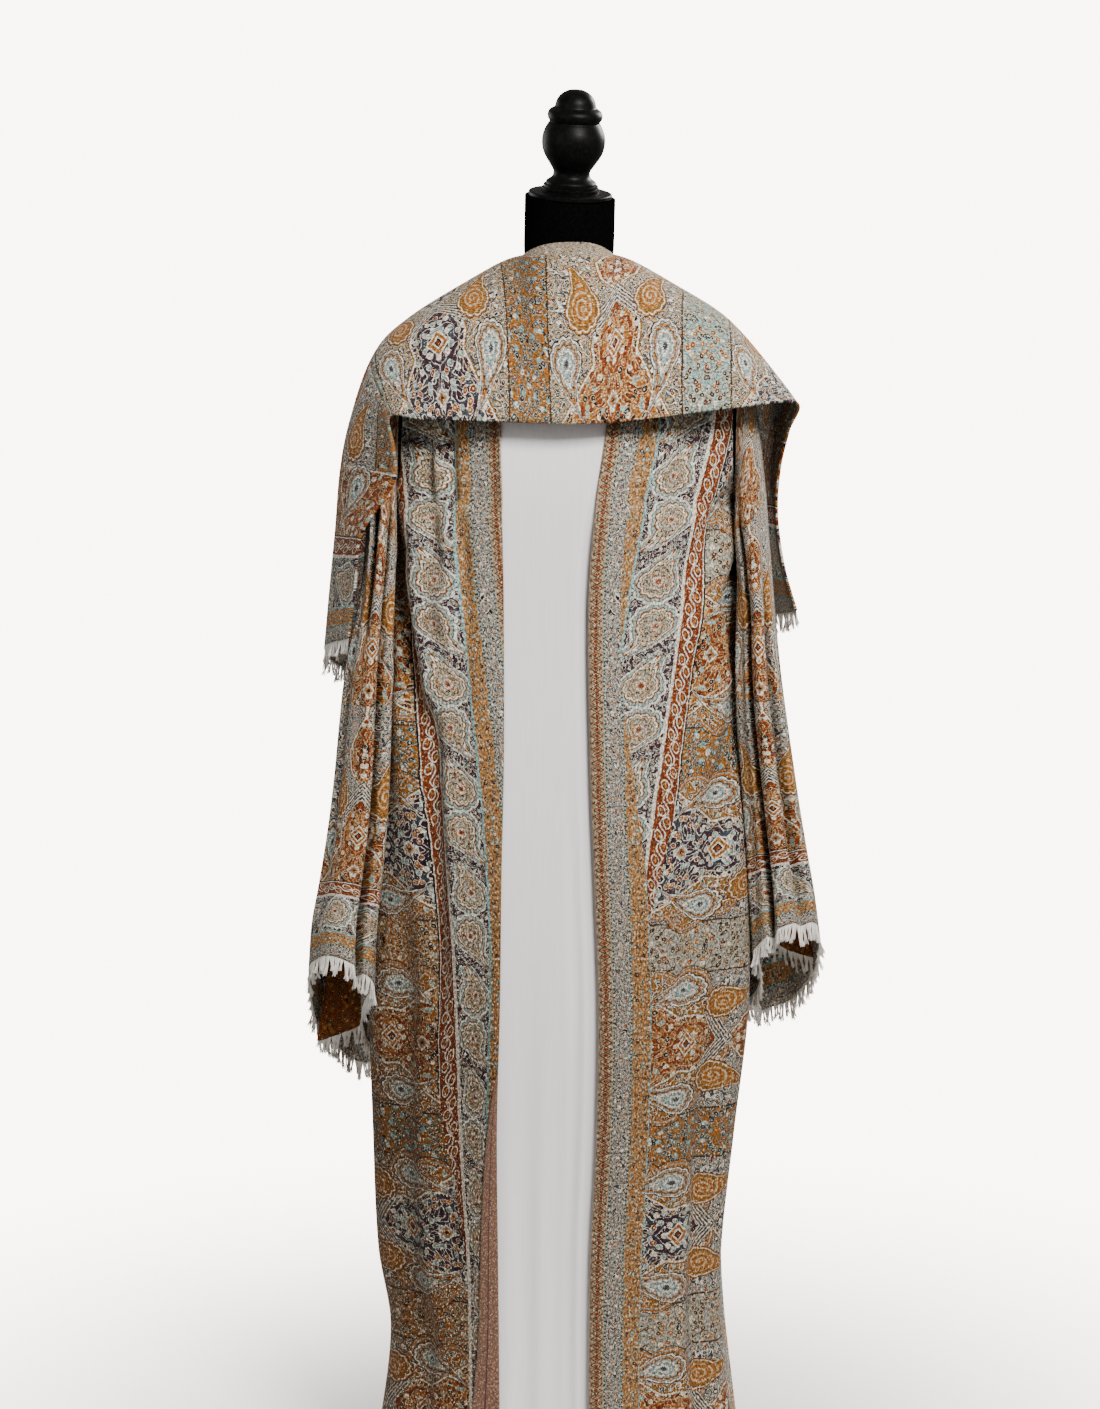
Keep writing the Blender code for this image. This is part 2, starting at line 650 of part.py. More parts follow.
def build_form(jersey, wood):
    rows = []
    for z, half_width, front, back in TORSO:
        rows.append(oval(half_width, front, back, z, TORSO_SQUARENESS))
    for index in range(FRONT_COLUMNS - 1):
        along = 1.0 - index / FRONT_COLUMNS
        ridge = shoulder(along)
        drop = 0.5 * CLOTH + REST
        depth = SHOULDER_HALF_DEPTH_NECK + (SHOULDER_HALF_DEPTH_TIP - SHOULDER_HALF_DEPTH_NECK) * along
        rows.append(oval(ridge.x - 0.0004, depth, depth, ridge.z - drop, SHOULDER_SQUARENESS))
    for index in range(NECK_RINGS + 1):
        rows.append(neck_ring(index / NECK_RINGS))
    capped("form_torso", rows, jersey)

    axis = Vector((NECK_SLANT_SIDE, -NECK_SLANT_FRONT, 1.0)).normalized()
    turn = Vector((0.0, 0.0, 1.0)).rotation_difference(axis).to_matrix().to_4x4()
    turn.translation = NECK_TOP + axis * REST
    lathe("form_finial", FINIAL, FINIAL_SIDES, wood, turn)


def oval(half_width, front, back, z, squareness):
    """A ring of the torso at one height."""
    exponent = 2.0 / squareness
    ring = []
    for side in range(TORSO_SIDES):
        turn = 2.0 * math.pi * side / TORSO_SIDES
        deep = front if math.sin(turn) < 0.0 else back
        x = half_width * power(math.cos(turn), exponent)
        y = deep * power(math.sin(turn), exponent)
        ring.append(Vector((x, y, z)))
    return ring


def neck_ring(share):
    """A ring of the neck, level at its foot and slanted at its top."""
    foot = Vector((0.0, 0.0, NECK_Z - NECK_FOOT_DROP))
    centre = foot.lerp(NECK_TOP, share)
    slant = ease(share)
    radius = NECK_RADIUS * (NECK_FOOT_SHARE + (1.0 - NECK_FOOT_SHARE) * ease(share * NECK_RINGS))
    ring = []
    for side in range(TORSO_SIDES):
        turn = 2.0 * math.pi * side / TORSO_SIDES
        x = radius * math.cos(turn)
        y = radius * math.sin(turn)
        z = slant * (NECK_SLANT_FRONT * y - NECK_SLANT_SIDE * x)
        ring.append(centre + Vector((x, y, z)))
    return ring


def build_stand(wood, paint):
    profile = (
        (BASE_RADIUS, 0.0),
        (BASE_RADIUS, BASE_THICKNESS - BASE_BEVEL),
        (BASE_RADIUS - BASE_BEVEL * 0.3, BASE_THICKNESS - BASE_BEVEL * 0.3),
        (BASE_RADIUS - BASE_BEVEL, BASE_THICKNESS),
    )
    lathe("stand_base", profile, 40, paint)
    low = BASE_THICKNESS + REST
    high = TORSO[0][0] - REST
    pole = (
        (POLE_FOOT_RADIUS, low),
        (POLE_FOOT_RADIUS, low + POLE_FOOT_HEIGHT * 0.5),
        (POLE_FOOT_RADIUS * 0.7, low + POLE_FOOT_HEIGHT),
        (POLE_RADIUS, low + POLE_FOOT_HEIGHT * 1.4),
        (POLE_RADIUS, high - POLE_COLLAR_HEIGHT * 1.5),
        (POLE_COLLAR_RADIUS * 0.75, high - POLE_COLLAR_HEIGHT),
        (POLE_COLLAR_RADIUS, high - POLE_COLLAR_HEIGHT * 0.4),
        (POLE_COLLAR_RADIUS, high),
    )
    lathe("stand_pole", pole, POLE_SIDES, wood)


def build_body(weave):
    rows = YOKE_ROWS + SKIRT_ROWS
    for name, side in (("front_left", 1.0), ("front_right", -1.0)):
        points = [
            [front_point(side, column / FRONT_COLUMNS, row / rows) for column in range(FRONT_COLUMNS + 1)]
            for row in range(rows + 1)
        ]
        cloth(name, points, CLOTH, weave)
    columns = 2 * FRONT_COLUMNS + NECK_COLUMNS
    points = [
        [back_point(column / columns, row / rows) for column in range(columns + 1)]
        for row in range(rows + 1)
    ]
    cloth("abaya_back", points, CLOTH, weave)


def inner_row(v):
    """A row of the inner panel, behind one column of each front and across the opening."""
    tuck = 1.0 / FRONT_COLUMNS
    right = front_point(-1.0, 0.0, v)
    left = front_point(1.0, 0.0, v)
    points = [front_point(-1.0, tuck, v), right]
    for index in range(1, PANEL_COLUMNS):
        t = index / PANEL_COLUMNS
        middle = right.lerp(left, t)
        low = ease((0.62 - middle.z) / 0.45)
        soft = 0.006 * bump(t - 0.30, 0.10) + 0.007 * bump(t - 0.64, 0.12)
        middle.y += low * soft
        points.append(middle)
    points += [left, front_point(1.0, tuck, v)]
    slope = ease((right.z - UNDERARM_Z) / 0.15)
    back = Vector((0.0, PANEL_SET_BACK * (1.0 + slope), 0.0))
    return [point + back for point in points]


def build_inner_panel(crepe):
    rows = YOKE_ROWS + SKIRT_ROWS
    points = [inner_row(row / rows) for row in range(PANEL_FIRST_ROW, rows + 1)]
    cloth("inner_panel", points, CREPE, crepe)


def build_sleeves(weave, fringe_yarn):
    for name, side in (("left", 1.0), ("right", -1.0)):
        turns = [360.0 * index / SLEEVE_SIDES for index in range(SLEEVE_SIDES)]
        points = [
            [sleeve_point(side, turn, row / SLEEVE_ROWS) for turn in turns]
            for row in range(SLEEVE_ROWS + 1)
        ]
        cloth("sleeve_" + name, points, CLOTH, weave, closed=True)
        line = edge_line(points[-1], points[-2], 2 * CUFF_STRANDS // SLEEVE_SIDES, True, 2.0 * REST)
        fringe("cuff_fringe_" + name, line, CLOTH, CUFF_STRANDS, STRAND_LENGTH, fringe_yarn, True)


def build_shawl(weave, fringe_yarn):
    last = len(SHAWL) - 1
    stretches = (
        ("shawl_tail_right", 0.0, RIGHT_SHOULDER_STATION - STRETCH_GAP, SHAWL_TAIL_COLUMNS),
        ("shawl_chest", RIGHT_SHOULDER_STATION, LEFT_SHOULDER_STATION, SHAWL_CHEST_COLUMNS),
        ("shawl_tail_left", LEFT_SHOULDER_STATION + STRETCH_GAP, last, SHAWL_TAIL_COLUMNS),
    )
    for name, start, end, columns in stretches:
        points = [
            [
                shawl_point(start + (end - start) * column / columns, row / SHAWL_CROSS_ROWS)
                for column in range(columns + 1)
            ]
            for row in range(SHAWL_CROSS_ROWS + 1)
        ]
        cloth(name, points, FOLDED_SHAWL, weave)
    for name, end, inside in (("right", 0.0, 0.5), ("left", last, last - 0.5)):
        shares = [row / SHAWL_CROSS_ROWS for row in range(SHAWL_CROSS_ROWS + 1)]
        edge = [shawl_point(end, share) for share in shares]
        row_above = [shawl_point(inside, share) for share in shares]
        parts = (2 * TAIL_STRANDS + 1) // SHAWL_CROSS_ROWS
        line = edge_line(edge, row_above, parts, False, 2.0 * REST)
        fringe("shawl_fringe_" + name, line, FOLDED_SHAWL, TAIL_STRANDS, STRAND_LENGTH, fringe_yarn, False)


def main():
    clear_scene()
    weave = surface("paisley_weave", (0.45, 0.37, 0.29), 0.75)
    crepe = surface("grey_crepe", (0.62, 0.60, 0.62), 0.8)
    yarn = surface("fringe_yarn", (0.80, 0.78, 0.74), 0.85)
    jersey = surface("black_jersey", (0.008, 0.008, 0.009), 0.95)
    wood = surface("black_wood", (0.010, 0.010, 0.010), 0.45)
    paint = surface("black_paint", (0.012, 0.012, 0.012), 0.5)
    build_form(jersey, wood)
    build_stand(wood, paint)
    build_body(weave)
    build_inner_panel(crepe)
    build_sleeves(weave, yarn)
    build_shawl(weave, yarn)


main()
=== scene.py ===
"""A long open-fronted abaya of woven paisley shawl cloth, with its matching folded shawl, on a limbless
dress form. Metres, +Z up; the front faces -Y and the wearer's left is at +X.
"""
import math
import random

import bpy
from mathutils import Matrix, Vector


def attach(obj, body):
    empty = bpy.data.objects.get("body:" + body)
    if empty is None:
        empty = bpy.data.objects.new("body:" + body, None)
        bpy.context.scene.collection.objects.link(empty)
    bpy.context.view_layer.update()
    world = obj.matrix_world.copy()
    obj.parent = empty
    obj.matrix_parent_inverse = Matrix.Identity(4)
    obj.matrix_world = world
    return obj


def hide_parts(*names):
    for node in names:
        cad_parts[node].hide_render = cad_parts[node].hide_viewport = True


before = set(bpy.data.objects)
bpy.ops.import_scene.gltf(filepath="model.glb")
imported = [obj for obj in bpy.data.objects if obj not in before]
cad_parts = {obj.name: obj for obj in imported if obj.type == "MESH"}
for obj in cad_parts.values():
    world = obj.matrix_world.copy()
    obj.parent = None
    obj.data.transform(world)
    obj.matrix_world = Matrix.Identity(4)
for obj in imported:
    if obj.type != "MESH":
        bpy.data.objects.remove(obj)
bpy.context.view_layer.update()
bpy.ops.object.select_all(action="DESELECT")


# Camera
# It stands in front of the form, a little above the chest, and looks down on it by 7.6 degrees. The frame
# is taller than wide, so the field of view is set on the height.
CAMERA_PLACE = (-0.0216, -3.5, 1.42)
CAMERA_DOWN = math.radians(7.568)
CAMERA_LENS = 75.175
SENSOR_HEIGHT = 36.0
bpy.ops.object.camera_add(location=CAMERA_PLACE, rotation=(math.radians(90.0) - CAMERA_DOWN, 0.0, 0.0))
camera = bpy.context.object
camera.data.sensor_fit = "VERTICAL"
camera.data.sensor_height = SENSOR_HEIGHT
camera.data.lens = CAMERA_LENS
bpy.context.scene.camera = camera
camera.select_set(False)


# Light and floor
# A bright plain studio: one large soft light in front and above, a weaker one on each side, two soft ones
# behind, and white surroundings that light the shadows only a little. The floor is a pale matt sheet whose
# edge fades into them.
def linear(code):
    """An sRGB hex colour as the linear values that a shader takes."""
    parts = [int(code[index:index + 2], 16) / 255.0 for index in (1, 3, 5)]
    return (*[part / 12.92 if part <= 0.04045 else ((part + 0.055) / 1.055) ** 2.4 for part in parts], 1.0)


def add(kind, *links, stops=(), **settings):
    """One node of the material being made: its settings, then a value or a link for each input."""
    made = tree.nodes.new("ShaderNode" + kind)
    for name, value in settings.items():
        setattr(made, name, value)
    for index, (place, colour) in enumerate(stops):
        elements = made.color_ramp.elements
        stop = elements[index] if index < 2 else elements.new(place)
        stop.position = place
        stop.color = linear(colour) if isinstance(colour, str) else (colour, colour, colour, 1.0)
    for socket, link in zip(made.inputs, links):
        if isinstance(link, bpy.types.Node):
            link = link.outputs[0]
        if isinstance(link, bpy.types.NodeSocket):
            tree.links.new(link, socket)
        elif link is not None:
            socket.default_value = link
    return made


def start_material(name, roughness, **sockets):
    """A new material with a plain shader, whose tree the next nodes go into."""
    global tree, shader
    made = bpy.data.materials.new(name)
    made.use_nodes = True
    tree = made.node_tree
    shader = tree.nodes["Principled BSDF"]
    shader.inputs["Roughness"].default_value = roughness
    for socket, value in sockets.items():
        shader.inputs[socket.replace("_", " ")].default_value = value
    return made


LIGHT_COLOUR = (1.0, 0.972, 0.945)
LIGHT_AIM = Vector((0.0, 0.0, 1.0))
# Name, place, size and power of each light, left and right as the camera sees them
LIGHTS = (
    ("key", (1.0, -2.4, 3.0), 1.0, 208.0),
    ("left_fill", (-2.4, -2.0, 1.9), 1.4, 18.0),
    ("right_fill", (2.6, -1.2, 1.7), 1.4, 10.0),
    ("behind_right", (2.0, 2.4, 2.7), 1.2, 160.0),
    ("behind_left", (-2.4, 2.2, 1.8), 1.6, 36.0),
)
for name, place, size, power in LIGHTS:
    bpy.ops.object.light_add(type="AREA", location=place)
    lamp = bpy.context.object
    lamp.name = "light_" + name
    lamp.data.energy = power
    lamp.data.size = size
    lamp.data.color = LIGHT_COLOUR
    aim = LIGHT_AIM - Vector(place)
    lamp.rotation_euler = aim.to_track_quat("-Z", "Y").to_euler()
    lamp.select_set(False)

SURROUND_LIGHT, SURROUND_SEEN = 0.30, 9.0
world = bpy.data.worlds.new("studio")
world.use_nodes = True
tree = world.node_tree
around = tree.nodes["Background"]
around.inputs["Color"].default_value = linear("#f6f4f2")
around.inputs["Strength"].default_value = SURROUND_LIGHT
seen = add("Background", linear("#fff5ee"), SURROUND_SEEN)
mixed = add("MixShader", add("LightPath"), around, seen)
tree.links.new(mixed.outputs[0], tree.nodes["World Output"].inputs[0])
bpy.context.scene.world = world

FLOOR_SIZE, FLOOR_FADE_START, FLOOR_FADE_END = 6.0, 0.2, 1.5
bpy.ops.mesh.primitive_plane_add(size=FLOOR_SIZE, location=(0.0, 0.0, 0.0))
floor = bpy.context.object
floor.name = "studio_floor"
floor_paint = start_material("pale_matt_sheet", 0.9)
place = add("TexCoord").outputs["Object"]
mottle = add("TexNoise", place, None, 1.6, 3.0, 0.55)
tint = add("ValToRGB", mottle, stops=((0.3, "#f1eeeb"), (0.7, "#f7f4f1")))
tree.links.new(tint.outputs[0], shader.inputs["Base Color"])
away = add("VectorMath", place, operation="LENGTH").outputs["Value"]
far = add("MapRange", away, FLOOR_FADE_START, FLOOR_FADE_END, interpolation_type="SMOOTHSTEP")
fading = add("MixShader", far, shader, add("BsdfTransparent"))
tree.links.new(fading.outputs[0], tree.nodes["Material Output"].inputs[0])
floor.data.materials.append(floor_paint)
floor.select_set(False)


# Body shape
# The shape of the abaya below the armholes: rings that are half widths and half depths, the lines of the
# two front edges, and long soft folds that grow toward the hem.
UNDERARM_Z, HEM_Z = 1.200, 0.050
NECK_X, NECK_Z = 0.062, 1.472
TIP_X, TIP_Z = 0.192, 1.398
SHOULDER_RISE = 0.0115
ARMHOLE_HALF_DEPTH = 0.072
CLOTH = 0.002
SEAM = 0.0002

BODY_COLUMNS = ("z", "right", "left", "front", "back")
BODY = (
    (1.200, 0.200, 0.194, 0.132, 0.112),
    (1.050, 0.213, 0.206, 0.130, 0.114),
    (0.900, 0.221, 0.212, 0.137, 0.124),
    (0.750, 0.229, 0.216, 0.145, 0.135),
    (0.600, 0.235, 0.218, 0.150, 0.142),
    (0.450, 0.232, 0.202, 0.150, 0.147),
    (0.300, 0.226, 0.187, 0.151, 0.150),
    (0.200, 0.211, 0.190, 0.153, 0.153),
    (0.050, 0.229, 0.208, 0.158, 0.158),
)
BODY_SQUARENESS = 2.4
EDGE_COLUMNS = ("z", "right", "left")
FRONT_EDGE = (
    (1.472, -0.0620, 0.0620),
    (1.297, -0.0790, 0.0450),
    (1.208, -0.0770, 0.0320),
    (1.094, -0.0750, 0.0230),
    (0.907, -0.0750, 0.0250),
    (0.771, -0.0780, 0.0300),
    (0.623, -0.0800, 0.0350),
    (0.467, -0.0840, 0.0330),
    (0.306, -0.0830, 0.0260),
    (0.050, -0.0810, 0.0240),
)
# The folds' angle, width, height, top and lean
FOLDS = (
    (-69.0, 8.0, 0.011, 1.12, -2.0),
    (-53.0, 5.0, -0.006, 0.98, 2.0),
    (-39.0, 6.0, 0.008, 0.80, 3.0),
    (66.0, 8.0, 0.012, 1.14, -5.0),
    (51.0, 5.0, -0.006, 1.00, -3.0),
    (37.0, 6.0, 0.008, 0.76, 2.0),
    (105.0, 6.0, 0.010, 1.00, 2.0),
    (120.0, 5.0, -0.006, 0.88, 1.0),
    (135.0, 7.0, 0.015, 1.18, -3.0),
    (153.0, 5.0, -0.005, 0.80, 2.0),
    (167.0, 6.0, 0.011, 0.96, 3.0),
    (184.0, 7.0, 0.017, 1.24, 1.0),
    (203.0, 6.0, 0.010, 0.90, -2.0),
    (220.0, 7.0, 0.015, 1.20, 3.0),
    (238.0, 5.0, -0.006, 0.84, 0.0),
    (252.0, 6.0, 0.010, 1.02, -2.0),
)
FOLD_GROWTH = 0.42


def ease(t):
    """A smooth step from 0 to 1."""
    t = min(max(t, 0.0), 1.0)
    return t * t * (3.0 - 2.0 * t)


def bump(distance, width):
    """A rounded hump that is 1 at the middle and 0 past twice its width."""
    away = abs(distance) / (2.0 * width)
    return (1.0 - away * away) ** 2 if away < 1.0 else 0.0


def power(value, exponent):
    """A power that keeps the sign."""
    return math.copysign(abs(value) ** exponent, value)


def hermite(start, end, leave, arrive, t):
    """A cubic from start to end with the given slopes, for numbers or vectors."""
    return (
        start * (2 * t**3 - 3 * t**2 + 1)
        + leave * (t**3 - 2 * t**2 + t)
        + end * (3 * t**2 - 2 * t**3)
        + arrive * (t**3 - t**2)
    )


def read(table, columns, at, column):
    """A column of a table, read smoothly at a value of its first column."""
    number = columns.index(column)
    rows = table if table[0][0] < table[-1][0] else table[::-1]
    last = len(rows) - 1
    at = min(max(at, rows[0][0]), rows[last][0])
    low = 0
    while low < last - 1 and rows[low + 1][0] < at:
        low += 1

    def slope(index):
        before = rows[max(index - 1, 0)]
        after = rows[min(index + 1, last)]
        return (after[number] - before[number]) / (after[0] - before[0])

    step = rows[low + 1][0] - rows[low][0]
    t = (at - rows[low][0]) / step
    return hermite(rows[low][number], rows[low + 1][number], slope(low) * step, slope(low + 1) * step, t)


def through(points, t):
    """A smooth curve through evenly spaced points, t from 0 to 1."""
    last = len(points) - 1
    low = min(int(t * last), last - 1)

    def slope(index):
        before = max(index - 1, 0)
        after = min(index + 1, last)
        return (points[after] - points[before]) / (after - before)

    return hermite(points[low], points[low + 1], slope(low), slope(low + 1), t * last - low)


def shoulder(t):
    """A point of the shoulder line, t = 0 at the neck and 1 at the tip, on the +X side."""
    x = NECK_X + (TIP_X - NECK_X) * t
    z = NECK_Z + (TIP_Z - NECK_Z) * t + SHOULDER_RISE * 4.0 * t * (1.0 - t)
    return Vector((x, 0.0, z))


def fold_height(angle, z):
    """How far the long folds stand out of the body at an angle and a height."""
    total = 0.0
    for centre, width, height, top, lean in FOLDS:
        grown = ease((top - z) / FOLD_GROWTH)
        total += height * grown * bump(angle - centre - lean * (top - z), width)
    return total


def body_point(angle, z):
    """A point of the body below the underarm, the angle in degrees from the front centre."""
    turn = math.radians(angle)
    across = read(BODY, BODY_COLUMNS, z, "left" if math.sin(turn) >= 0.0 else "right")
    deep = read(BODY, BODY_COLUMNS, z, "front" if math.cos(turn) >= 0.0 else "back")
    exponent = 2.0 / BODY_SQUARENESS
    out = fold_height(angle if angle > -90.0 else angle + 360.0, z)
    x = (across + out) * power(math.sin(turn), exponent)
    y = -(deep + out) * power(math.cos(turn), exponent)
    return Vector((x, y, z))


def side_name(side):
    """The wearer's side that a sign stands for."""
    return "left" if side > 0 else "right"


def edge_angle(side, z):
    """The angle at which a front's opening edge lies at a height."""
    x = abs(read(FRONT_EDGE, EDGE_COLUMNS, z, side_name(side)))
    across = read(BODY, BODY_COLUMNS, z, side_name(side))
    return math.degrees(math.asin((x / across) ** (BODY_SQUARENESS / 2.0)))


def armhole_point(side, facing, z):
    """A point of the armhole's edge at a height between the shoulder tip and the underarm."""
    share = min(max((TIP_Z - z) / (TIP_Z - UNDERARM_Z), 0.0), 1.0)
    bottom_x = read(BODY, BODY_COLUMNS, UNDERARM_Z, side_name(side))
    x = TIP_X + (bottom_x - TIP_X) * share
    y = facing * ARMHOLE_HALF_DEPTH * math.sqrt(max(0.0, 1.0 - (2.0 * share - 1.0) ** 2))
    return Vector((side * x, y, z))


# How far the cloth heads out from the shoulder line before it turns down to the underarm
FRONT_LEAVE_NECK, FRONT_LEAVE_TIP = 0.235, 0.200
FRONT_LEAVE_INWARD = 0.010
BACK_LEAVE = 0.200
BACK_NECK_Y, BACK_NECK_DROP = 0.061, 0.004
BACK_NECK_LEAVE, BACK_NECK_LEAVE_DOWN = 0.080, 0.100
SIDE_LEAVE, SIDE_ARRIVE = 0.200, 0.280
UNDERARM_ARRIVE, UNDERARM_STEP = 14.0, 0.02
YOKE_SHARE, YOKE_SPACING = 7.0 / 20.0, 1.5


def yoke_point(side, facing, start, leave, angle, t, nearness):
    """Cloth that runs from the shoulder line down to the underarm, t from 0 to 1."""
    end = body_point(angle, UNDERARM_Z)
    below = body_point(angle, UNDERARM_Z - UNDERARM_STEP)
    plain = hermite(start, end, leave, (below - end) * UNDERARM_ARRIVE, t)
    tip = shoulder(1.0)
    tip.x *= side
    side_end = body_point(90.0 * side, UNDERARM_Z)
    side_leave = Vector((0.0, facing * SIDE_LEAVE, 0.0))
    side_plain = hermite(tip, side_end, side_leave, Vector((0.0, 0.0, -SIDE_ARRIVE)), t)
    wanted = armhole_point(side, facing, side_plain.z)
    return plain + (wanted - side_plain) * nearness**3


def cloth_piece(name, columns, rows, shape, pattern_place, inside, seam_merge=False):
    """A sheet of cloth from a flat grid, bent by shape(u, v), its right side turned away from a place
    inside it, and with a UV map in metres of cloth."""
    bpy.ops.mesh.primitive_grid_add(x_subdivisions=columns, y_subdivisions=rows, size=1.0)
    made = bpy.context.object
    made.name = made.data.name = name
    flat = [(point.co.x + 0.5, 0.5 - point.co.y) for point in made.data.vertices]
    for point, (u, v) in zip(made.data.vertices, flat):
        point.co = shape(u, v)
    places = [pattern_place(u, v) for u, v in flat]
    layer = made.data.uv_layers[0]
    layer.name = "cloth"
    for loop in made.data.loops:
        layer.data[loop.index].uv = places[loop.vertex_index]
    if seam_merge:
        bpy.ops.object.mode_set(mode="EDIT")
        bpy.ops.mesh.select_all(action="SELECT")
        bpy.ops.mesh.remove_doubles(threshold=0.00001)
        bpy.ops.object.mode_set(mode="OBJECT")
    facing = sum((face.center - inside).dot(face.normal) * face.area for face in made.data.polygons)
    if facing < 0.0:
        made.data.flip_normals()
    bpy.ops.object.shade_smooth()
    made.select_set(False)
    return made


def give_wall(piece, thickness, right_side, wrong_side):
    """Gives a sheet its wall, evenly to both sides, with a material for its outer and its inner face."""
    bpy.context.view_layer.objects.active = piece
    piece.data.materials.append(right_side)
    piece.data.materials.append(wrong_side)
    wall = piece.modifiers.new("wall", "SOLIDIFY")
    wall.thickness = thickness
    wall.offset = 0.0
    wall.use_quality_normals = True
    wall.material_offset = 1
    bpy.ops.object.modifier_apply(modifier=wall.name)


# Dress form
# A padded torso and short neck under matt black stretch jersey, smooth and without limbs. The jersey is
# knitted cotton, so it drinks the light and shows a faint fine rib only at its brightest edge.
TORSO_COLUMNS = ("z", "half_width", "front", "back")
TORSO = (
    (0.790, 0.120, 0.080, 0.085),
    (0.810, 0.152, 0.100, 0.108),
    (0.890, 0.165, 0.108, 0.116),
    (0.970, 0.155, 0.100, 0.104),
    (1.070, 0.124, 0.086, 0.082),
    (1.160, 0.134, 0.094, 0.086),
    (1.250, 0.156, 0.110, 0.094),
    (1.320, 0.168, 0.088, 0.084),
    (1.370, 0.180, 0.062, 0.062),
)
TORSO_SQUARENESS = 2.3
SHOULDER_HALF_DEPTH_TIP, SHOULDER_HALF_DEPTH_NECK = 0.050, 0.022
SHOULDER_CLEAR = 0.0014
NECK_RADIUS = 0.0530
NECK_TOP = Vector((0.002, -0.006, 1.5555))
NECK_SLANT_FRONT, NECK_SLANT_SIDE = 0.20, 0.06
NECK_FOOT_DROP, NECK_FOOT_SHARE = 0.004, 0.92
TORSO_SIDES, TORSO_RINGS, SHOULDER_RINGS, NECK_RINGS = 72, 34, 16, 12
SHOULDER_REACH = 0.92


def torso_ring(level, turn):
    """A point of the form: level counts its rings from the underside to the top of the neck."""
    if level <= TORSO_RINGS:
        z = TORSO[0][0] + (TORSO[-1][0] - TORSO[0][0]) * level / TORSO_RINGS
        across = read(TORSO, TORSO_COLUMNS, z, "half_width")
        deep = read(TORSO, TORSO_COLUMNS, z, "front" if math.sin(turn) < 0.0 else "back")
        exponent = 2.0 / TORSO_SQUARENESS
        return Vector((across * power(math.cos(turn), exponent), deep * power(math.sin(turn), exponent), z))
    if level <= TORSO_RINGS + SHOULDER_RINGS:
        along = 1.0 - SHOULDER_REACH * (level - TORSO_RINGS - 1) / (SHOULDER_RINGS - 1)
        ridge = shoulder(along)
        deep = SHOULDER_HALF_DEPTH_NECK + (SHOULDER_HALF_DEPTH_TIP - SHOULDER_HALF_DEPTH_NECK) * along
        return Vector((ridge.x * math.cos(turn), deep * math.sin(turn), ridge.z - SHOULDER_CLEAR))
    share = (level - TORSO_RINGS - SHOULDER_RINGS - 1) / (NECK_RINGS - 1)
    centre = Vector((0.0, 0.0, NECK_Z - NECK_FOOT_DROP)).lerp(NECK_TOP, share)
    radius = NECK_RADIUS * (NECK_FOOT_SHARE + (1.0 - NECK_FOOT_SHARE) * ease(share * 3.0))
    x = radius * math.cos(turn)
    y = radius * math.sin(turn)
    return centre + Vector((x, y, ease(share) * (NECK_SLANT_FRONT * y - NECK_SLANT_SIDE * x)))


bpy.ops.mesh.primitive_cylinder_add(vertices=TORSO_SIDES, radius=1.0, depth=1.0, end_fill_type="NGON")
torso = bpy.context.object
torso.name = torso.data.name = "jersey_torso"
last_ring = TORSO_RINGS + SHOULDER_RINGS + NECK_RINGS
bpy.ops.object.mode_set(mode="EDIT")
bpy.ops.mesh.select_all(action="SELECT")
bpy.ops.mesh.bisect(plane_co=(0.0, 0.0, -0.5 + 1.0 / last_ring), plane_no=(0.0, 0.0, 1.0))
for ring in range(2, last_ring):
    bpy.ops.mesh.select_all(action="SELECT")
    bpy.ops.mesh.bisect(plane_co=(0.0, 0.0, -0.5 + ring / last_ring), plane_no=(0.0, 0.0, 1.0))
bpy.ops.object.mode_set(mode="OBJECT")
for point in torso.data.vertices:
    level = round((point.co.z + 0.5) * last_ring)
    point.co = torso_ring(level, math.atan2(point.co.y, point.co.x))
bpy.ops.object.shade_smooth_by_angle(angle=math.radians(40.0))
torso.select_set(False)

jersey = start_material("black_cotton_jersey", 0.97, Specular_IOR_Level=0.0)
place = add("TexCoord").outputs["Object"]
rib = add("TexWave", place, 900.0, 0.6, 2.0, bands_direction="Z")
pile = add("TexNoise", place, None, 340.0, 2.0, 0.6)
shade = add("ValToRGB", pile, stops=((0.35, "#030303"), (0.75, "#09090a")))
relief = add("Math", add("Math", rib, 0.4, operation="MULTIPLY"), pile, operation="ADD")
tree.links.new(shade.outputs[0], shader.inputs["Base Color"])
tree.links.new(add("Bump", 0.35, 0.0006, None, relief).outputs[0], shader.inputs["Normal"])
torso.data.materials.append(jersey)
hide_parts("form_torso")
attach(torso, "root")


# Neck cap
# A turned hardwood finial in black satin lacquer: a flat flange, stepped rings, a narrow waist, an egg and
# a small domed knob over a double ring. Lacquer over fine turning marks gives long soft highlights.
# Radius and height of each place on its outline, of which the first few are sharp corners
FINIAL = (
    (0.0475, 0.0000),
    (0.0490, 0.0012),
    (0.0490, 0.0045),
    (0.0478, 0.0056),
    (0.0352, 0.0062),
    (0.0340, 0.0079),
    (0.0342, 0.0102),
    (0.0318, 0.0112),
    (0.0320, 0.0140),
    (0.0296, 0.0150),
    (0.0292, 0.0178),
    (0.0232, 0.0225),
    (0.0215, 0.0268),
    (0.0222, 0.0315),
    (0.0285, 0.0409),
    (0.0345, 0.0513),
    (0.0369, 0.0627),
    (0.0357, 0.0740),
    (0.0312, 0.0839),
    (0.0292, 0.0868),
    (0.0316, 0.0910),
    (0.0320, 0.0958),
    (0.0300, 0.1000),
    (0.0258, 0.1028),
    (0.0242, 0.1043),
    (0.0222, 0.1118),
    (0.0172, 0.1184),
    (0.0100, 0.1227),
    (0.0040, 0.1239),
)
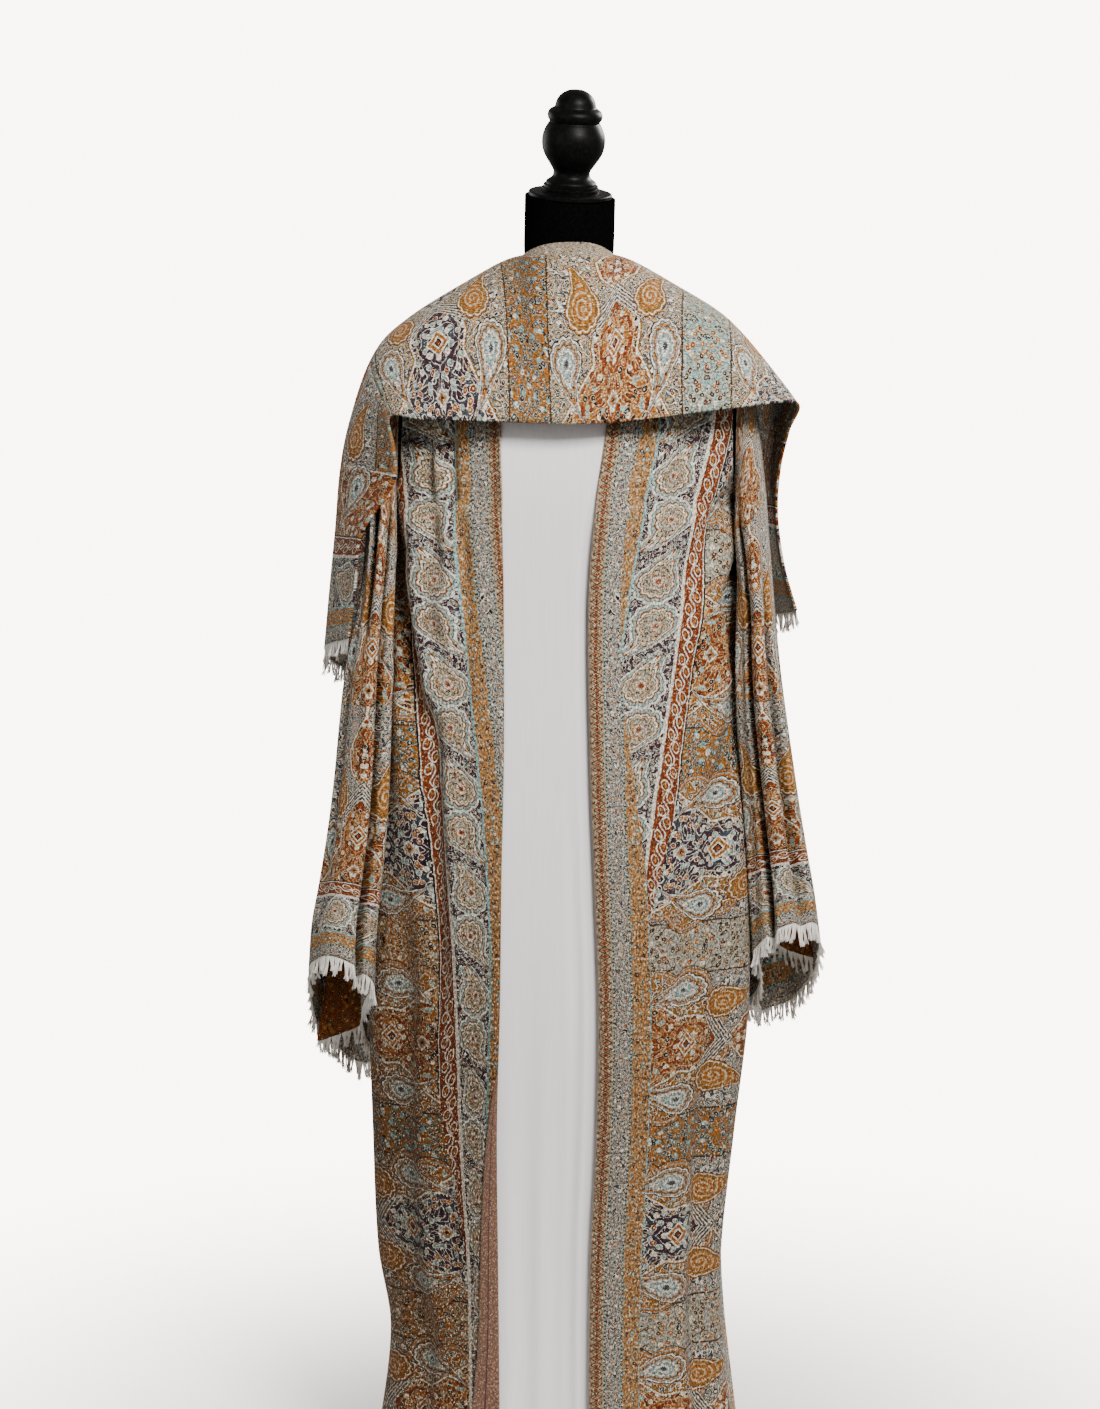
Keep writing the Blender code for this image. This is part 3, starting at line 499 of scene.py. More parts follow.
FINIAL_CORNERS, FINIAL_PARTS, FINIAL_SIDES = 3, 3, 72
FINIAL_TIP_RADIUS, FINIAL_TIP_RISE = 0.0008, 0.0004
REST = 0.0003


def turned(name, profile, sides):
    """A turned piece: a disc extruded up its half section and resized at each place of it."""
    radius, height = profile[0]
    bpy.ops.mesh.primitive_circle_add(vertices=sides, radius=radius, fill_type="NGON",
                                      location=(0.0, 0.0, height))
    made = bpy.context.object
    made.name = made.data.name = name
    bpy.ops.object.mode_set(mode="EDIT")
    bpy.ops.mesh.select_all(action="SELECT")
    for next_radius, next_height in profile[1:]:
        grown = next_radius / radius
        bpy.ops.mesh.extrude_region_move(TRANSFORM_OT_translate={"value": (0.0, 0.0, next_height - height)})
        bpy.ops.transform.resize(value=(grown, grown, 1.0))
        radius, height = next_radius, next_height
    bpy.ops.mesh.select_all(action="SELECT")
    bpy.ops.mesh.normals_make_consistent(inside=False)
    bpy.ops.object.mode_set(mode="OBJECT")
    bpy.ops.object.transform_apply(location=True, rotation=True, scale=True)
    return made


finial_curve = [(FINIAL[0][0] * 0.5, 0.0), *FINIAL[:FINIAL_CORNERS + 1]]
last_row = len(FINIAL) - 1
for first in range(FINIAL_CORNERS, last_row):
    rows = [Vector(FINIAL[max(min(first + shift, last_row), FINIAL_CORNERS)]) for shift in (-1, 0, 1, 2)]
    leave = (rows[2] - rows[0]) * 0.5
    arrive = (rows[3] - rows[1]) * 0.5
    for part in range(1, FINIAL_PARTS + 1):
        finial_curve.append(tuple(hermite(rows[1], rows[2], leave, arrive, part / FINIAL_PARTS)))
finial_curve.append((FINIAL_TIP_RADIUS, FINIAL[-1][1] + FINIAL_TIP_RISE))
finial = turned("lacquered_finial", finial_curve, FINIAL_SIDES)
axis = Vector((NECK_SLANT_SIDE, -NECK_SLANT_FRONT, 1.0)).normalized()
stand_up = Vector((0.0, 0.0, 1.0)).rotation_difference(axis).to_matrix().to_4x4()
stand_up.translation = NECK_TOP + axis * REST
finial.data.transform(stand_up)
bpy.ops.object.shade_smooth_by_angle(angle=math.radians(34.0))
finial.select_set(False)

lacquer = start_material("satin_black_lacquer_on_turned_beech", 0.5, Specular_IOR_Level=0.07)
place = add("TexCoord").outputs["Object"]
turning = add("TexNoise", add("Mapping", place, None, None, (30.0, 30.0, 700.0)), None, 1.0, 3.0, 0.6)
dust = add("TexNoise", place, None, 210.0, 3.0, 0.7)
shade = add("ValToRGB", dust, stops=((0.45, "#040404"), (0.78, "#0d0d0d")))
dull = add("MapRange", dust, 0.3, 0.75, 0.38, 0.5)
tree.links.new(shade.outputs[0], shader.inputs["Base Color"])
tree.links.new(dull.outputs[0], shader.inputs["Roughness"])
tree.links.new(add("Bump", 0.12, 0.0004, None, turning).outputs[0], shader.inputs["Normal"])
finial.data.materials.append(lacquer)
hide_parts("form_finial")
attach(finial, "root")


# Pole and foot
# A turned black pole with a collar under the torso, socketed in a flat round steel foot with a rounded rim.
# The pole has the cap's lacquer; the foot is powder painted, which leaves a fine orange peel.
BASE_RADIUS, BASE_THICKNESS, BASE_BEVEL = 0.165, 0.018, 0.005
POLE_RADIUS, POLE_COLLAR_RADIUS, POLE_COLLAR_HEIGHT = 0.014, 0.040, 0.030
POLE_FOOT_RADIUS, POLE_FOOT_HEIGHT = 0.034, 0.022
POLE_SIDES, FOOT_SIDES, FOOT_RIM_PARTS = 48, 96, 6
SMALL_EDGE = 0.001
low = BASE_THICKNESS + REST
high = TORSO[0][0] - REST
pole = turned("lacquered_pole", (
    (POLE_FOOT_RADIUS * 0.97, low),
    (POLE_FOOT_RADIUS, low + 0.002),
    (POLE_FOOT_RADIUS, low + POLE_FOOT_HEIGHT * 0.5),
    (POLE_FOOT_RADIUS * 0.88, low + POLE_FOOT_HEIGHT * 0.8),
    (POLE_FOOT_RADIUS * 0.68, low + POLE_FOOT_HEIGHT),
    (POLE_RADIUS * 1.15, low + POLE_FOOT_HEIGHT * 1.2),
    (POLE_RADIUS, low + POLE_FOOT_HEIGHT * 1.5),
    (POLE_RADIUS, high - POLE_COLLAR_HEIGHT * 1.6),
    (POLE_RADIUS * 1.25, high - POLE_COLLAR_HEIGHT * 1.3),
    (POLE_COLLAR_RADIUS * 0.75, high - POLE_COLLAR_HEIGHT),
    (POLE_COLLAR_RADIUS * 0.96, high - POLE_COLLAR_HEIGHT * 0.6),
    (POLE_COLLAR_RADIUS, high - POLE_COLLAR_HEIGHT * 0.35),
    (POLE_COLLAR_RADIUS, high - SMALL_EDGE),
    (POLE_COLLAR_RADIUS * 0.97, high),
), POLE_SIDES)
bpy.ops.object.shade_smooth_by_angle(angle=math.radians(30.0))
pole.select_set(False)
pole.data.materials.append(lacquer)
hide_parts("stand_pole")
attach(pole, "root")

foot_profile = [(BASE_RADIUS - SMALL_EDGE, 0.0), (BASE_RADIUS, SMALL_EDGE)]
for part in range(FOOT_RIM_PARTS + 1):
    turn = math.pi / 2.0 * part / FOOT_RIM_PARTS
    out = BASE_RADIUS - BASE_BEVEL * (1.0 - math.cos(turn))
    foot_profile.append((out, BASE_THICKNESS - BASE_BEVEL * (1.0 - math.sin(turn))))
foot = turned("painted_steel_foot", foot_profile, FOOT_SIDES)
bpy.ops.object.shade_smooth_by_angle(angle=math.radians(30.0))
foot.select_set(False)
paint = start_material("black_powder_paint_on_steel", 0.5, Specular_IOR_Level=0.45)
place = add("TexCoord").outputs["Object"]
peel = add("TexNoise", place, None, 420.0, 2.0, 0.5)
shade = add("ValToRGB", peel, stops=((0.3, "#101011"), (0.8, "#1a1a1b")))
tree.links.new(shade.outputs[0], shader.inputs["Base Color"])
tree.links.new(add("Bump", 0.2, 0.0006, None, peel).outputs[0], shader.inputs["Normal"])
foot.data.materials.append(paint)
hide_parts("stand_base")
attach(foot, "root")


# Shawl cloth
# A jacquard weave of wool and viscose in pale ice grey, ecru, ochre, rust, aubergine and slate: a border of
# vine, lozenge and paisley bands along each edge, and ornament over small flowers between them. Its map is
# in metres of cloth, first the distance from the woven border's edge, then the place along the border.
PALE, ECRU, OCHRE, RUST = "#a9a89c", "#cdb892", "#ab6c2e", "#873d16"
AUBERGINE, SLATE, MINT, WHITE = "#402633", "#434a52", "#8fb6b5", "#f0eadb"
DARK, BROWN, GOLD, TAN = "#1b181d", "#4c3320", "#94682c", "#b29b74"
FLOWER_INKS = ((0.0, RUST), (0.20, DARK), (0.38, OCHRE), (0.58, AUBERGINE), (0.74, SLATE), (0.90, WHITE))
PALE_INKS = ((0.0, MINT), (0.26, SLATE), (0.46, AUBERGINE), (0.64, RUST), (0.78, WHITE), (0.86, DARK))
# The pale glint colour paints highlights on the brightest yarn floats
WEFT, PAINTED_GLINT, TAN_LATTICE = "#242021", "#d8ccb4", "#b39a7c"
LIGHT_OCHRE, UNDERSIDE, SHADED = "#b5834f", "#7b5330", "#5c472c"
TENT_PITCH, PAISLEY_PITCH, LOZENGE_PITCH, VINE_PITCH, FIELD_REPEAT = 0.228, 0.0605, 0.0078, 0.0145, 0.235

# Where each band of the woven border ends, and the middle lines of its lozenges and its rust vine
LOZENGES_END, FLOWERS_END, OCHRE_END, PAISLEYS_START = 0.017, 0.039, 0.061, 0.0628
PAISLEYS_END, WHITE_END, RUST_END, RUST_LINE_END, BORDER_END = 0.125, 0.129, 0.150, 0.1512, 0.153
LOZENGES_MIDDLE, RUST_MIDDLE = 0.0085, 0.1395

# Places in the field, from the border's edge up and from a tent's middle line out
COLUMN_SIDE, COLUMN_LINE, COLUMN_TOP = 0.084, 0.0838, 0.20
CHEVRON, CHEVRON_HALF_WIDTH = (0.118, 0.142), 0.034
PAIR_OUT, PAIR_UP = (0.046, 0.082), (0.016, 0.088)
CURL_OUT, CURL_UP = (0.026, 0.064), (0.094, 0.158)
STAR_UP, STAR_REACH, GEM_UP, GEM_REACH = 0.072, 0.015, 0.020, 0.010
MEDALLION_UP, MEDALLION_RADIUS = 0.045, 0.082
TENT_OUTLINE = (
    (0.0, 0.68), (0.10, 0.52), (0.24, 0.30), (0.32, 0.33), (0.42, 0.27), (0.54, 0.02), (0.62, 0.24),
    (0.72, 0.30), (0.80, 0.16), (0.88, 0.0),
)
TENT_HEIGHT, TENT_HALF_WIDTH = 0.25, 0.1
DROP_LOBES, DROP_SCALLOP, MEDALLION_LOBES, MEDALLION_SCALLOP = 6.0, 0.10, 4.5, 0.012

# The two heights between which a front's strip grows, its border narrows and painted shade darkens its
# colours
STRIP_GROWS, BORDER_NARROWS, PAINTED_SHADE_HEIGHTS = (1.0, 0.78), (1.15, 0.30), (1.05, 0.55)
STRIP_GROWTH = 0.024


def between(value, low, high):
    """A mask that is 1 where a value lies between two limits."""
    above = add("Math", value, low, operation="GREATER_THAN")
    below = add("Math", value, high, operation="LESS_THAN")
    return add("Math", above, below, operation="MULTIPLY")


def within(value, repeats):
    """How far through its repeat a value lies, from 0 to 1."""
    return add("Math", add("Math", value, repeats, operation="MULTIPLY"), operation="FRACT")


def every_second(number):
    """A mask that is 1 in every second repeat."""
    remainder = add("Math", add("Math", number, operation="FLOOR"), 2.0, operation="FLOORED_MODULO")
    return add("Math", remainder, 0.5, operation="GREATER_THAN")


def from_middle(number, pitch):
    """How far a place lies from the middle of its repeat, in metres of cloth."""
    centred = add("Math", add("Math", number, operation="FRACT"), 0.5, operation="SUBTRACT")
    return add("Math", centred, pitch, operation="MULTIPLY")


def apart_from(value, line):
    """How far a value is from a line, on either side of it."""
    return add("Math", add("Math", value, line, operation="SUBTRACT"), operation="ABSOLUTE")


def reach_of(x, y):
    """The distance of a place from the origin."""
    squares = add("Math", x, x, add("Math", y, y, operation="MULTIPLY"), operation="MULTIPLY_ADD")
    return add("Math", squares, operation="SQRT")


def scalloped_reach(x, y, lobes, depth):
    """The distance of a place from the origin, less wherever a scalloped outline bulges out."""
    turn = add("Math", add("Math", y, x, operation="ARCTAN2"), lobes, operation="MULTIPLY")
    bulge = add("Math", add("Math", turn, operation="SINE"), operation="ABSOLUTE")
    return add("Math", bulge, -depth, reach_of(x, y), operation="MULTIPLY_ADD")


def sprigs(ground, spot, scale, reach, inks, rim=ECRU):
    """Small scattered flowers in several yarns, each with a pale heart and a thin rim, over a colour."""
    cells = add("TexVoronoi", spot, None, scale, voronoi_dimensions="2D")
    pick = add("SeparateColor", cells.outputs["Color"])
    yarn = add("ValToRGB", pick.outputs[0], stops=inks)
    yarn.color_ramp.interpolation = "CONSTANT"
    heart = add("Math", cells, reach * 0.36, operation="LESS_THAN")
    flower = add("MixRGB", heart, yarn, linear(ECRU))
    rimmed = add("MixRGB", add("Math", cells, reach * 1.22, operation="LESS_THAN"), ground, linear(rim))
    return add("MixRGB", add("Math", cells, reach, operation="LESS_THAN"), rimmed, flower)


def flowered(ground, spot, scale, inks, stem, line):
    """A ground full of curling stems, drawn as nested outlines, with small flowers among them."""
    swirl = add("TexNoise", spot, None, scale * 0.40, 1.0, 0.45, noise_dimensions="2D")
    wave = within(swirl, 7.0)
    stems = add("MixRGB", between(wave, 0.12, 0.40), linear(ground), linear(stem))
    drawn = add("MixRGB", between(wave, 0.40, 0.52), stems, linear(line))
    drawn = add("MixRGB", between(wave, 0.52, 0.64), drawn, linear(DARK))
    return sprigs(drawn, spot, scale, 0.27, inks, line)


def boteh(x, y, curl, tip=0.12):
    """How far a place is from the heart of a paisley drop whose tip curls over: 1 on its outline."""
    up = add("Math", y, 0.0, operation="MAXIMUM")
    bend = add("Math", add("Math", up, up, operation="MULTIPLY"), curl, operation="MULTIPLY")
    bent = add("Math", x, bend, operation="SUBTRACT")
    wide = add("Math", bent, add("MapRange", up, 0.0, 2.1, 1.0, tip), operation="DIVIDE")
    tall = add("Math", y, add("Math", up, 0.62, 1.0, operation="MULTIPLY_ADD"), operation="DIVIDE")
    return scalloped_reach(wide, tall, DROP_LOBES, DROP_SCALLOP)


def nested(below, distance, rings):
    """Nested outlines of a motif, each ring a yarn colour, over the colour below it."""
    colours = add("ValToRGB", distance, stops=rings)
    colours.color_ramp.interpolation = "CONSTANT"
    inside = add("Math", distance, 1.0, operation="LESS_THAN")
    return add("MixRGB", inside, below, colours)


def spiral(x, y, pitch, width):
    """A mask of a line that winds out from a centre."""
    turns = add("Math", add("Math", y, x, operation="ARCTAN2"), 0.5 / math.pi, operation="MULTIPLY")
    wound = add("Math", reach_of(x, y), 1.0 / pitch, turns, operation="MULTIPLY_ADD")
    return add("Math", add("Math", wound, operation="FRACT"), width, operation="LESS_THAN")


def border(below, spot, across, along):
    """The woven border: lozenges, flowers, ochre vine, paisleys, a white line and a rust vine, in turn."""
    beat = add("Math", along, LOZENGE_PITCH * 0.5, operation="PINGPONG")
    middle = apart_from(across, LOZENGES_MIDDLE)
    lattice = add("Math", add("Math", beat, 1.77, middle, operation="MULTIPLY_ADD"), 0.0068, 0.0011,
                  operation="COMPARE")
    diamond = add("Math", add("Math", beat, 1.2, middle, operation="MULTIPLY_ADD"), 0.0032,
                  operation="LESS_THAN")
    lozenges = add("MixRGB", lattice, linear(TAN_LATTICE), linear(BROWN))
    lozenges = add("MixRGB", diamond, lozenges, linear(RUST))
    colour = add("MixRGB", between(across, -0.2, LOZENGES_END), below, lozenges)

    small = flowered(PALE, spot, 190.0, FLOWER_INKS, SLATE, WHITE)
    colour = add("MixRGB", between(across, LOZENGES_END, FLOWERS_END), colour, small)
    dashes = add("Math", within(along, 220.0), 0.55, operation="LESS_THAN")
    ice = add("MixRGB", dashes, linear(BROWN), linear(MINT))
    colour = add("MixRGB", between(across, LOZENGES_END + 0.0002, LOZENGES_END + 0.0020), colour, ice)

    vine = sprigs(linear(LIGHT_OCHRE), spot, 190.0, 0.22, ((0.0, OCHRE), (0.4, DARK), (0.7, MINT)), GOLD)
    sprays = within(add("TexNoise", spot, None, 75.0, 1.0, 0.45, noise_dimensions="2D"), 5.0)
    vine = add("MixRGB", between(sprays, 0.10, 0.20), vine, linear(ECRU))
    vine = add("MixRGB", between(sprays, 0.20, 0.27), vine, linear(BROWN))
    vine_inks = ((0.0, MINT), (0.35, AUBERGINE), (0.6, SLATE), (0.8, WHITE))
    vine = sprigs(vine, spot, 100.0, 0.17, vine_inks, BROWN)
    colour = add("MixRGB", between(across, FLOWERS_END, OCHRE_END), colour, vine)
    colour = add("MixRGB", between(across, FLOWERS_END - 0.0015, FLOWERS_END + 0.0005), colour, ice)
    colour = add("MixRGB", between(across, OCHRE_END - 0.0010, PAISLEYS_START), colour, linear(MINT))

    number = add("Math", along, 1.0 / PAISLEY_PITCH, operation="MULTIPLY")
    rise = add("MapRange", add("Math", number, operation="FRACT"), 0.0, 1.0, -1.02, 1.42)
    out = add("MapRange", across, PAISLEYS_START + 0.0012, PAISLEYS_END, -1.06, 1.06)
    kite = boteh(add("Math", out, 0.14, operation="ADD"), rise, 0.28, 0.16)
    hook = boteh(add("Math", out, -1.0, 0.06, operation="MULTIPLY_ADD"),
                 add("Math", 0.40, rise, operation="SUBTRACT"), 0.55, 0.20)
    drop = add("MixRGB", every_second(number), kite, hook)
    ground = flowered(AUBERGINE, spot, 170.0, PALE_INKS, SLATE, WHITE)
    rings = (
        (0.0, RUST), (0.07, WHITE), (0.14, OCHRE), (0.18, PALE), (0.42, DARK), (0.45, ECRU), (0.54, SLATE),
        (0.58, WHITE), (0.66, OCHRE), (0.70, DARK), (0.73, PALE), (0.81, MINT), (0.86, DARK), (0.89, WHITE),
    )
    paisley = nested(ground, drop, rings)
    heart = sprigs(paisley, spot, 210.0, 0.33, FLOWER_INKS)
    paisley = add("MixRGB", between(drop, 0.18, 0.42), paisley, heart)
    colour = add("MixRGB", between(across, PAISLEYS_START, PAISLEYS_END), colour, paisley)
    colour = add("MixRGB", between(across, PAISLEYS_END, WHITE_END), colour, linear(WHITE))

    beat = add("Math", along, 1.0 / VINE_PITCH, operation="MULTIPLY")
    turns = add("Math", add("Math", beat, math.pi, operation="MULTIPLY"), operation="SINE")
    offset = add("Math", across, RUST_MIDDLE, operation="SUBTRACT")
    swing = add("Math", turns, 0.0036, operation="MULTIPLY")
    stem = add("Math", offset, swing, 0.0008, operation="COMPARE")
    other = add("Math", add("Math", turns, operation="SIGN"), 0.0038, offset, operation="MULTIPLY_ADD")
    lean = add("Math", other, 0.7, from_middle(beat, VINE_PITCH), operation="MULTIPLY_ADD")
    wide = add("Math", add("Math", other, 1.0 / 0.0046, operation="MULTIPLY"), 2.0, operation="POWER")
    tall = add("Math", add("Math", lean, 1.0 / 0.0066, operation="MULTIPLY"), 2.0, operation="POWER")
    leaf = add("Math", wide, tall, operation="ADD")
    rust = flowered(RUST, spot, 200.0, ((0.0, RUST), (0.5, BROWN), (0.8, OCHRE)), RUST, RUST)
    drawn = add("Math", stem, between(leaf, 0.56, 0.98), operation="MAXIMUM")
    rust = add("MixRGB", drawn, rust, linear(WHITE))
    rust = add("MixRGB", add("Math", leaf, 0.16, operation="LESS_THAN"), rust, linear(OCHRE))
    colour = add("MixRGB", between(across, WHITE_END, RUST_END), colour, rust)
    colour = add("MixRGB", between(across, RUST_END, RUST_LINE_END), colour, linear(WHITE))
    return add("MixRGB", between(across, RUST_LINE_END, BORDER_END), colour, linear(DARK))


def field(away, along, stray, scalloped, rust_depth, ground, second):
    """The ornament beyond the border: pointed tents in turn rust and aubergine, paired paisleys and curled
    leaves at their sides, and columns of flowers between them."""
    number = add("Math", along, 1.0 / TENT_PITCH, operation="MULTIPLY")
    odd = every_second(number)
    odd_column = every_second(add("Math", number, 0.5, operation="ADD"))
    x = from_middle(number, TENT_PITCH)
    side = add("Math", x, operation="ABSOLUTE")
    if rust_depth:
        in_rust = add("Math", away, rust_depth, operation="LESS_THAN")
        rust_rim = add("Math", away, rust_depth, 0.0012, operation="COMPARE")
        away = add("Math", away, FIELD_REPEAT, operation="FLOORED_MODULO")
    mirrored = add("CombineXYZ", side, away)
    spot = add("VectorMath", stray, (0.006, 0.006, 0.0), mirrored, operation="MULTIPLY_ADD")

    pale = flowered(ground, spot, 125.0, FLOWER_INKS, SLATE, WHITE)
    orange = flowered(OCHRE, spot, 105.0, PALE_INKS, GOLD, MINT)
    mint = flowered(second, spot, 105.0, FLOWER_INKS, PALE, ECRU)
    column = add("MixRGB", odd_column, orange, mint)
    low = add("Math", away, COLUMN_TOP, operation="LESS_THAN")
    aside = add("Math", side, COLUMN_SIDE, operation="GREATER_THAN")
    colour = add("MixRGB", add("Math", aside, low, operation="MULTIPLY"), pale, column)
    stripe = add("Math", side, COLUMN_LINE, 0.0010, operation="COMPARE")
    colour = add("MixRGB", add("Math", stripe, low, operation="MULTIPLY"), colour, linear(BROWN))

    warm = flowered(RUST, spot, 95.0, ((0.0, WHITE), (0.35, OCHRE), (0.6, MINT), (0.85, DARK)), OCHRE, ECRU)
    if rust_depth:
        colour = add("MixRGB", in_rust, colour, warm)
        colour = add("MixRGB", rust_rim, colour, linear(WHITE))
    if scalloped:
        up = add("Math", away, MEDALLION_UP, operation="SUBTRACT")
        ring = scalloped_reach(x, up, MEDALLION_LOBES, MEDALLION_SCALLOP)
        inside = add("Math", ring, MEDALLION_RADIUS, operation="LESS_THAN")
        gold = flowered(GOLD, spot, 115.0, PALE_INKS, OCHRE, WHITE)
        colour = add("MixRGB", inside, colour, gold)
        colour = add("MixRGB", between(ring, 0.0755, 0.0815), colour, linear(OCHRE))
        colour = add("MixRGB", between(ring, 0.0775, 0.0795), colour, linear(PALE))
        colour = add("MixRGB", between(ring, 0.0830, 0.0842), colour, linear(BROWN))

    edge = add("ValToRGB", add("MapRange", away, 0.0, TENT_HEIGHT, 0.0, 1.0), stops=TENT_OUTLINE)
    half_width = add("Math", edge, TENT_HALF_WIDTH, operation="MULTIPLY")
    inset = add("Math", half_width, side, operation="SUBTRACT")
    tent = add("Math", inset, 0.0, operation="GREATER_THAN")
    dusk_inks = ((0.0, WHITE), (0.35, MINT), (0.6, OCHRE), (0.85, RUST))
    dusk = flowered(AUBERGINE, spot, 95.0, dusk_inks, SLATE, WHITE)
    colour = add("MixRGB", tent, colour, add("MixRGB", odd, warm, dusk))
    trim = add("MixRGB", between(inset, -0.0042, -0.0022), colour, linear(GOLD))
    colour = add("MixRGB", between(inset, -0.0022, 0.0), trim, linear(WHITE))
    colour = add("MixRGB", between(inset, 0.0050, 0.0062), colour, linear(ECRU))

    peak = add("Math", side, 0.85, away, operation="MULTIPLY_ADD")
    narrow = add("Math", side, CHEVRON_HALF_WIDTH, operation="LESS_THAN")
    chevron = add("Math", between(peak, *CHEVRON), narrow, operation="MULTIPLY")
    steps = add("Math", within(peak, 210.0), 0.3, operation="LESS_THAN")
    purple = add("MixRGB", steps, sprigs(linear(SLATE), spot, 240.0, 0.32, FLOWER_INKS), linear(WHITE))
    colour = add("MixRGB", chevron, colour, purple)

    for up, reach, rings in (
        (STAR_UP, STAR_REACH, ((0.0, RUST), (0.22, DARK), (0.36, WHITE), (0.52, OCHRE), (0.84, WHITE))),
        (GEM_UP, GEM_REACH, ((0.0, DARK), (0.25, OCHRE), (0.55, PALE), (0.80, WHITE))),
    ):
        diamond = add("Math", side, apart_from(away, up), operation="ADD")
        colour = nested(colour, add("Math", diamond, 1.0 / reach, operation="MULTIPLY"), rings)

    pair_x = add("MapRange", side, *PAIR_OUT, -1.0, 1.0)
    pair_y = add("MapRange", away, *PAIR_UP, 1.55, -0.95)
    pair_x.clamp = pair_y.clamp = False
    pair = boteh(add("Math", pair_x, -1.0, operation="MULTIPLY"), pair_y, 0.30)
    colour = nested(colour, pair, (
        (0.0, SLATE), (0.10, WHITE), (0.20, MINT), (0.34, RUST), (0.38, WHITE), (0.48, PALE), (0.60, DARK),
        (0.64, OCHRE), (0.72, PALE), (0.80, BROWN), (0.84, WHITE), (0.94, DARK)))
    curl_x = add("MapRange", side, *CURL_OUT, -1.0, 1.0)
    curl_y = add("MapRange", away, *CURL_UP, -0.95, 1.25)
    curl_x.clamp = curl_y.clamp = False
    curled = boteh(curl_x, curl_y, 0.26)
    leaf_rings = ((0.0, OCHRE), (0.62, GOLD), (0.82, WHITE), (0.88, OCHRE), (0.95, BROWN))
    colour = nested(colour, curled, leaf_rings)
    heart = add("Math", curled, 0.60, operation="LESS_THAN")
    wound = add("Math", spiral(curl_x, curl_y, 0.30, 0.34), heart, operation="MULTIPLY")
    return add("MixRGB", wound, colour, linear(ECRU))


def shawl_cloth(name, ground, second, shift=0.0, fall=None, strip=0.0, narrowed=0.0, taper=None, painted_shade=0.0,
                scalloped=False, rust_depth=0.0):
    """The whole cloth as a material, on its two ground colours. Down the two heights of its fall the
    pattern shifts off the edge, past a strip that stays, its paisley band narrows, and its vine runs out to
    a point down the taper. Lower down, painted shade darkens the colours toward the hem. The field can have
    scalloped medallions, or a band of rust next to the border."""
    made = start_material(name, 0.84, Sheen_Weight=0.03, Sheen_Roughness=0.4, Specular_IOR_Level=0.12)
    cloth = add("SeparateXYZ", add("UVMap", uv_map="cloth"))
    height = cloth.outputs[1]
    place = add("CombineXYZ", cloth.outputs[0], height)
    if shift:
        fallen = add("MapRange", height, *fall, 0.0, shift, interpolation_type="SMOOTHSTEP")
        kept = add("MapRange", height, *STRIP_GROWS, strip, strip + STRIP_GROWTH) if strip else 0.0
        past = add("Math", cloth.outputs[0], kept, operation="GREATER_THAN")
        moved = add("Math", fallen, past, cloth.outputs[0], operation="MULTIPLY_ADD")
        place = add("CombineXYZ", moved, height)
    wander = add("TexNoise", place, None, 60.0, 3.0, 0.62, noise_dimensions="2D")
    stray = add("VectorMath", wander.outputs["Color"], (0.5, 0.5, 0.5), operation="SUBTRACT")
    spot = add("VectorMath", stray, (0.0028, 0.0036, 0.0), place, operation="MULTIPLY_ADD")
    flower_spot = add("VectorMath", stray, (0.009, 0.009, 0.0), place, operation="MULTIPLY_ADD")
    drawn = add("SeparateXYZ", spot)
    across, along = drawn.outputs[0], drawn.outputs[1]
    if narrowed:
        lost = add("MapRange", height, *BORDER_NARROWS, 0.0, narrowed)
        whole = PAISLEYS_END - PAISLEYS_START
        room = add("Math", whole, add("Math", whole, lost, operation="SUBTRACT"), operation="DIVIDE")
        past = add("Math", across, PAISLEYS_START, operation="SUBTRACT")
        tight = add("Math", past, room, PAISLEYS_START, operation="MULTIPLY_ADD")
        tight = add("Math", tight, add("Math", across, lost, operation="ADD"), operation="MINIMUM")
        across = add("Math", across, tight, operation="MAXIMUM")
    if taper:
        lost = add("MapRange", height, *taper, 0.0, BORDER_END - WHITE_END)
        outer_edge = add("Math", BORDER_END, lost, operation="SUBTRACT")
        outer = add("Math", across, outer_edge, operation="GREATER_THAN")
        across = add("Math", outer, lost, across, operation="MULTIPLY_ADD")
    away = add("Math", across, BORDER_END, operation="SUBTRACT")
    ornament = field(away, along, stray, scalloped, rust_depth, ground, second)
    pattern = border(ornament, flower_spot, across, along)
    # Painted shade: lower down the front the pattern is multiplied by a shaded brown, so it darkens toward
    # the hem
    if painted_shade:
        low = add("MapRange", height, *PAINTED_SHADE_HEIGHTS, 0.0, painted_shade)
        pattern = add("MixRGB", low, pattern, linear(SHADED), blend_type="MULTIPLY")

    # The floats of yarn are drawn about 2 by 4 mm, some three times their real size, so that they show
    threads = add("TexNoise", add("Mapping", place, None, None, (1.0, 0.55, 1.0)), None, 510.0, 2.0, 0.7)
    picks = add("ValToRGB", threads, stops=((0.39, WEFT), (0.50, "#bbb6b0"), (0.60, "#ffffff")))
    worn = add("MixRGB", 0.80, pattern, picks, blend_type="MULTIPLY")
    # Painted highlight: the brightest yarn floats are painted as pale glints
    glint = add("MixRGB", add("Math", threads, 0.65, operation="GREATER_THAN"), worn, linear(PAINTED_GLINT))
    tree.links.new(glint.outputs[0], shader.inputs["Base Color"])
    twill = add("TexWave", add("Mapping", place, None, None, (1.0, 0.8, 1.0)), 330.0, 1.2, 2.0,
                bands_direction="DIAGONAL")
    relief = add("Math", threads, 0.7, twill, operation="MULTIPLY_ADD")
    tree.links.new(add("Bump", 0.42, 0.0009, None, relief).outputs[0], shader.inputs["Normal"])
    return made


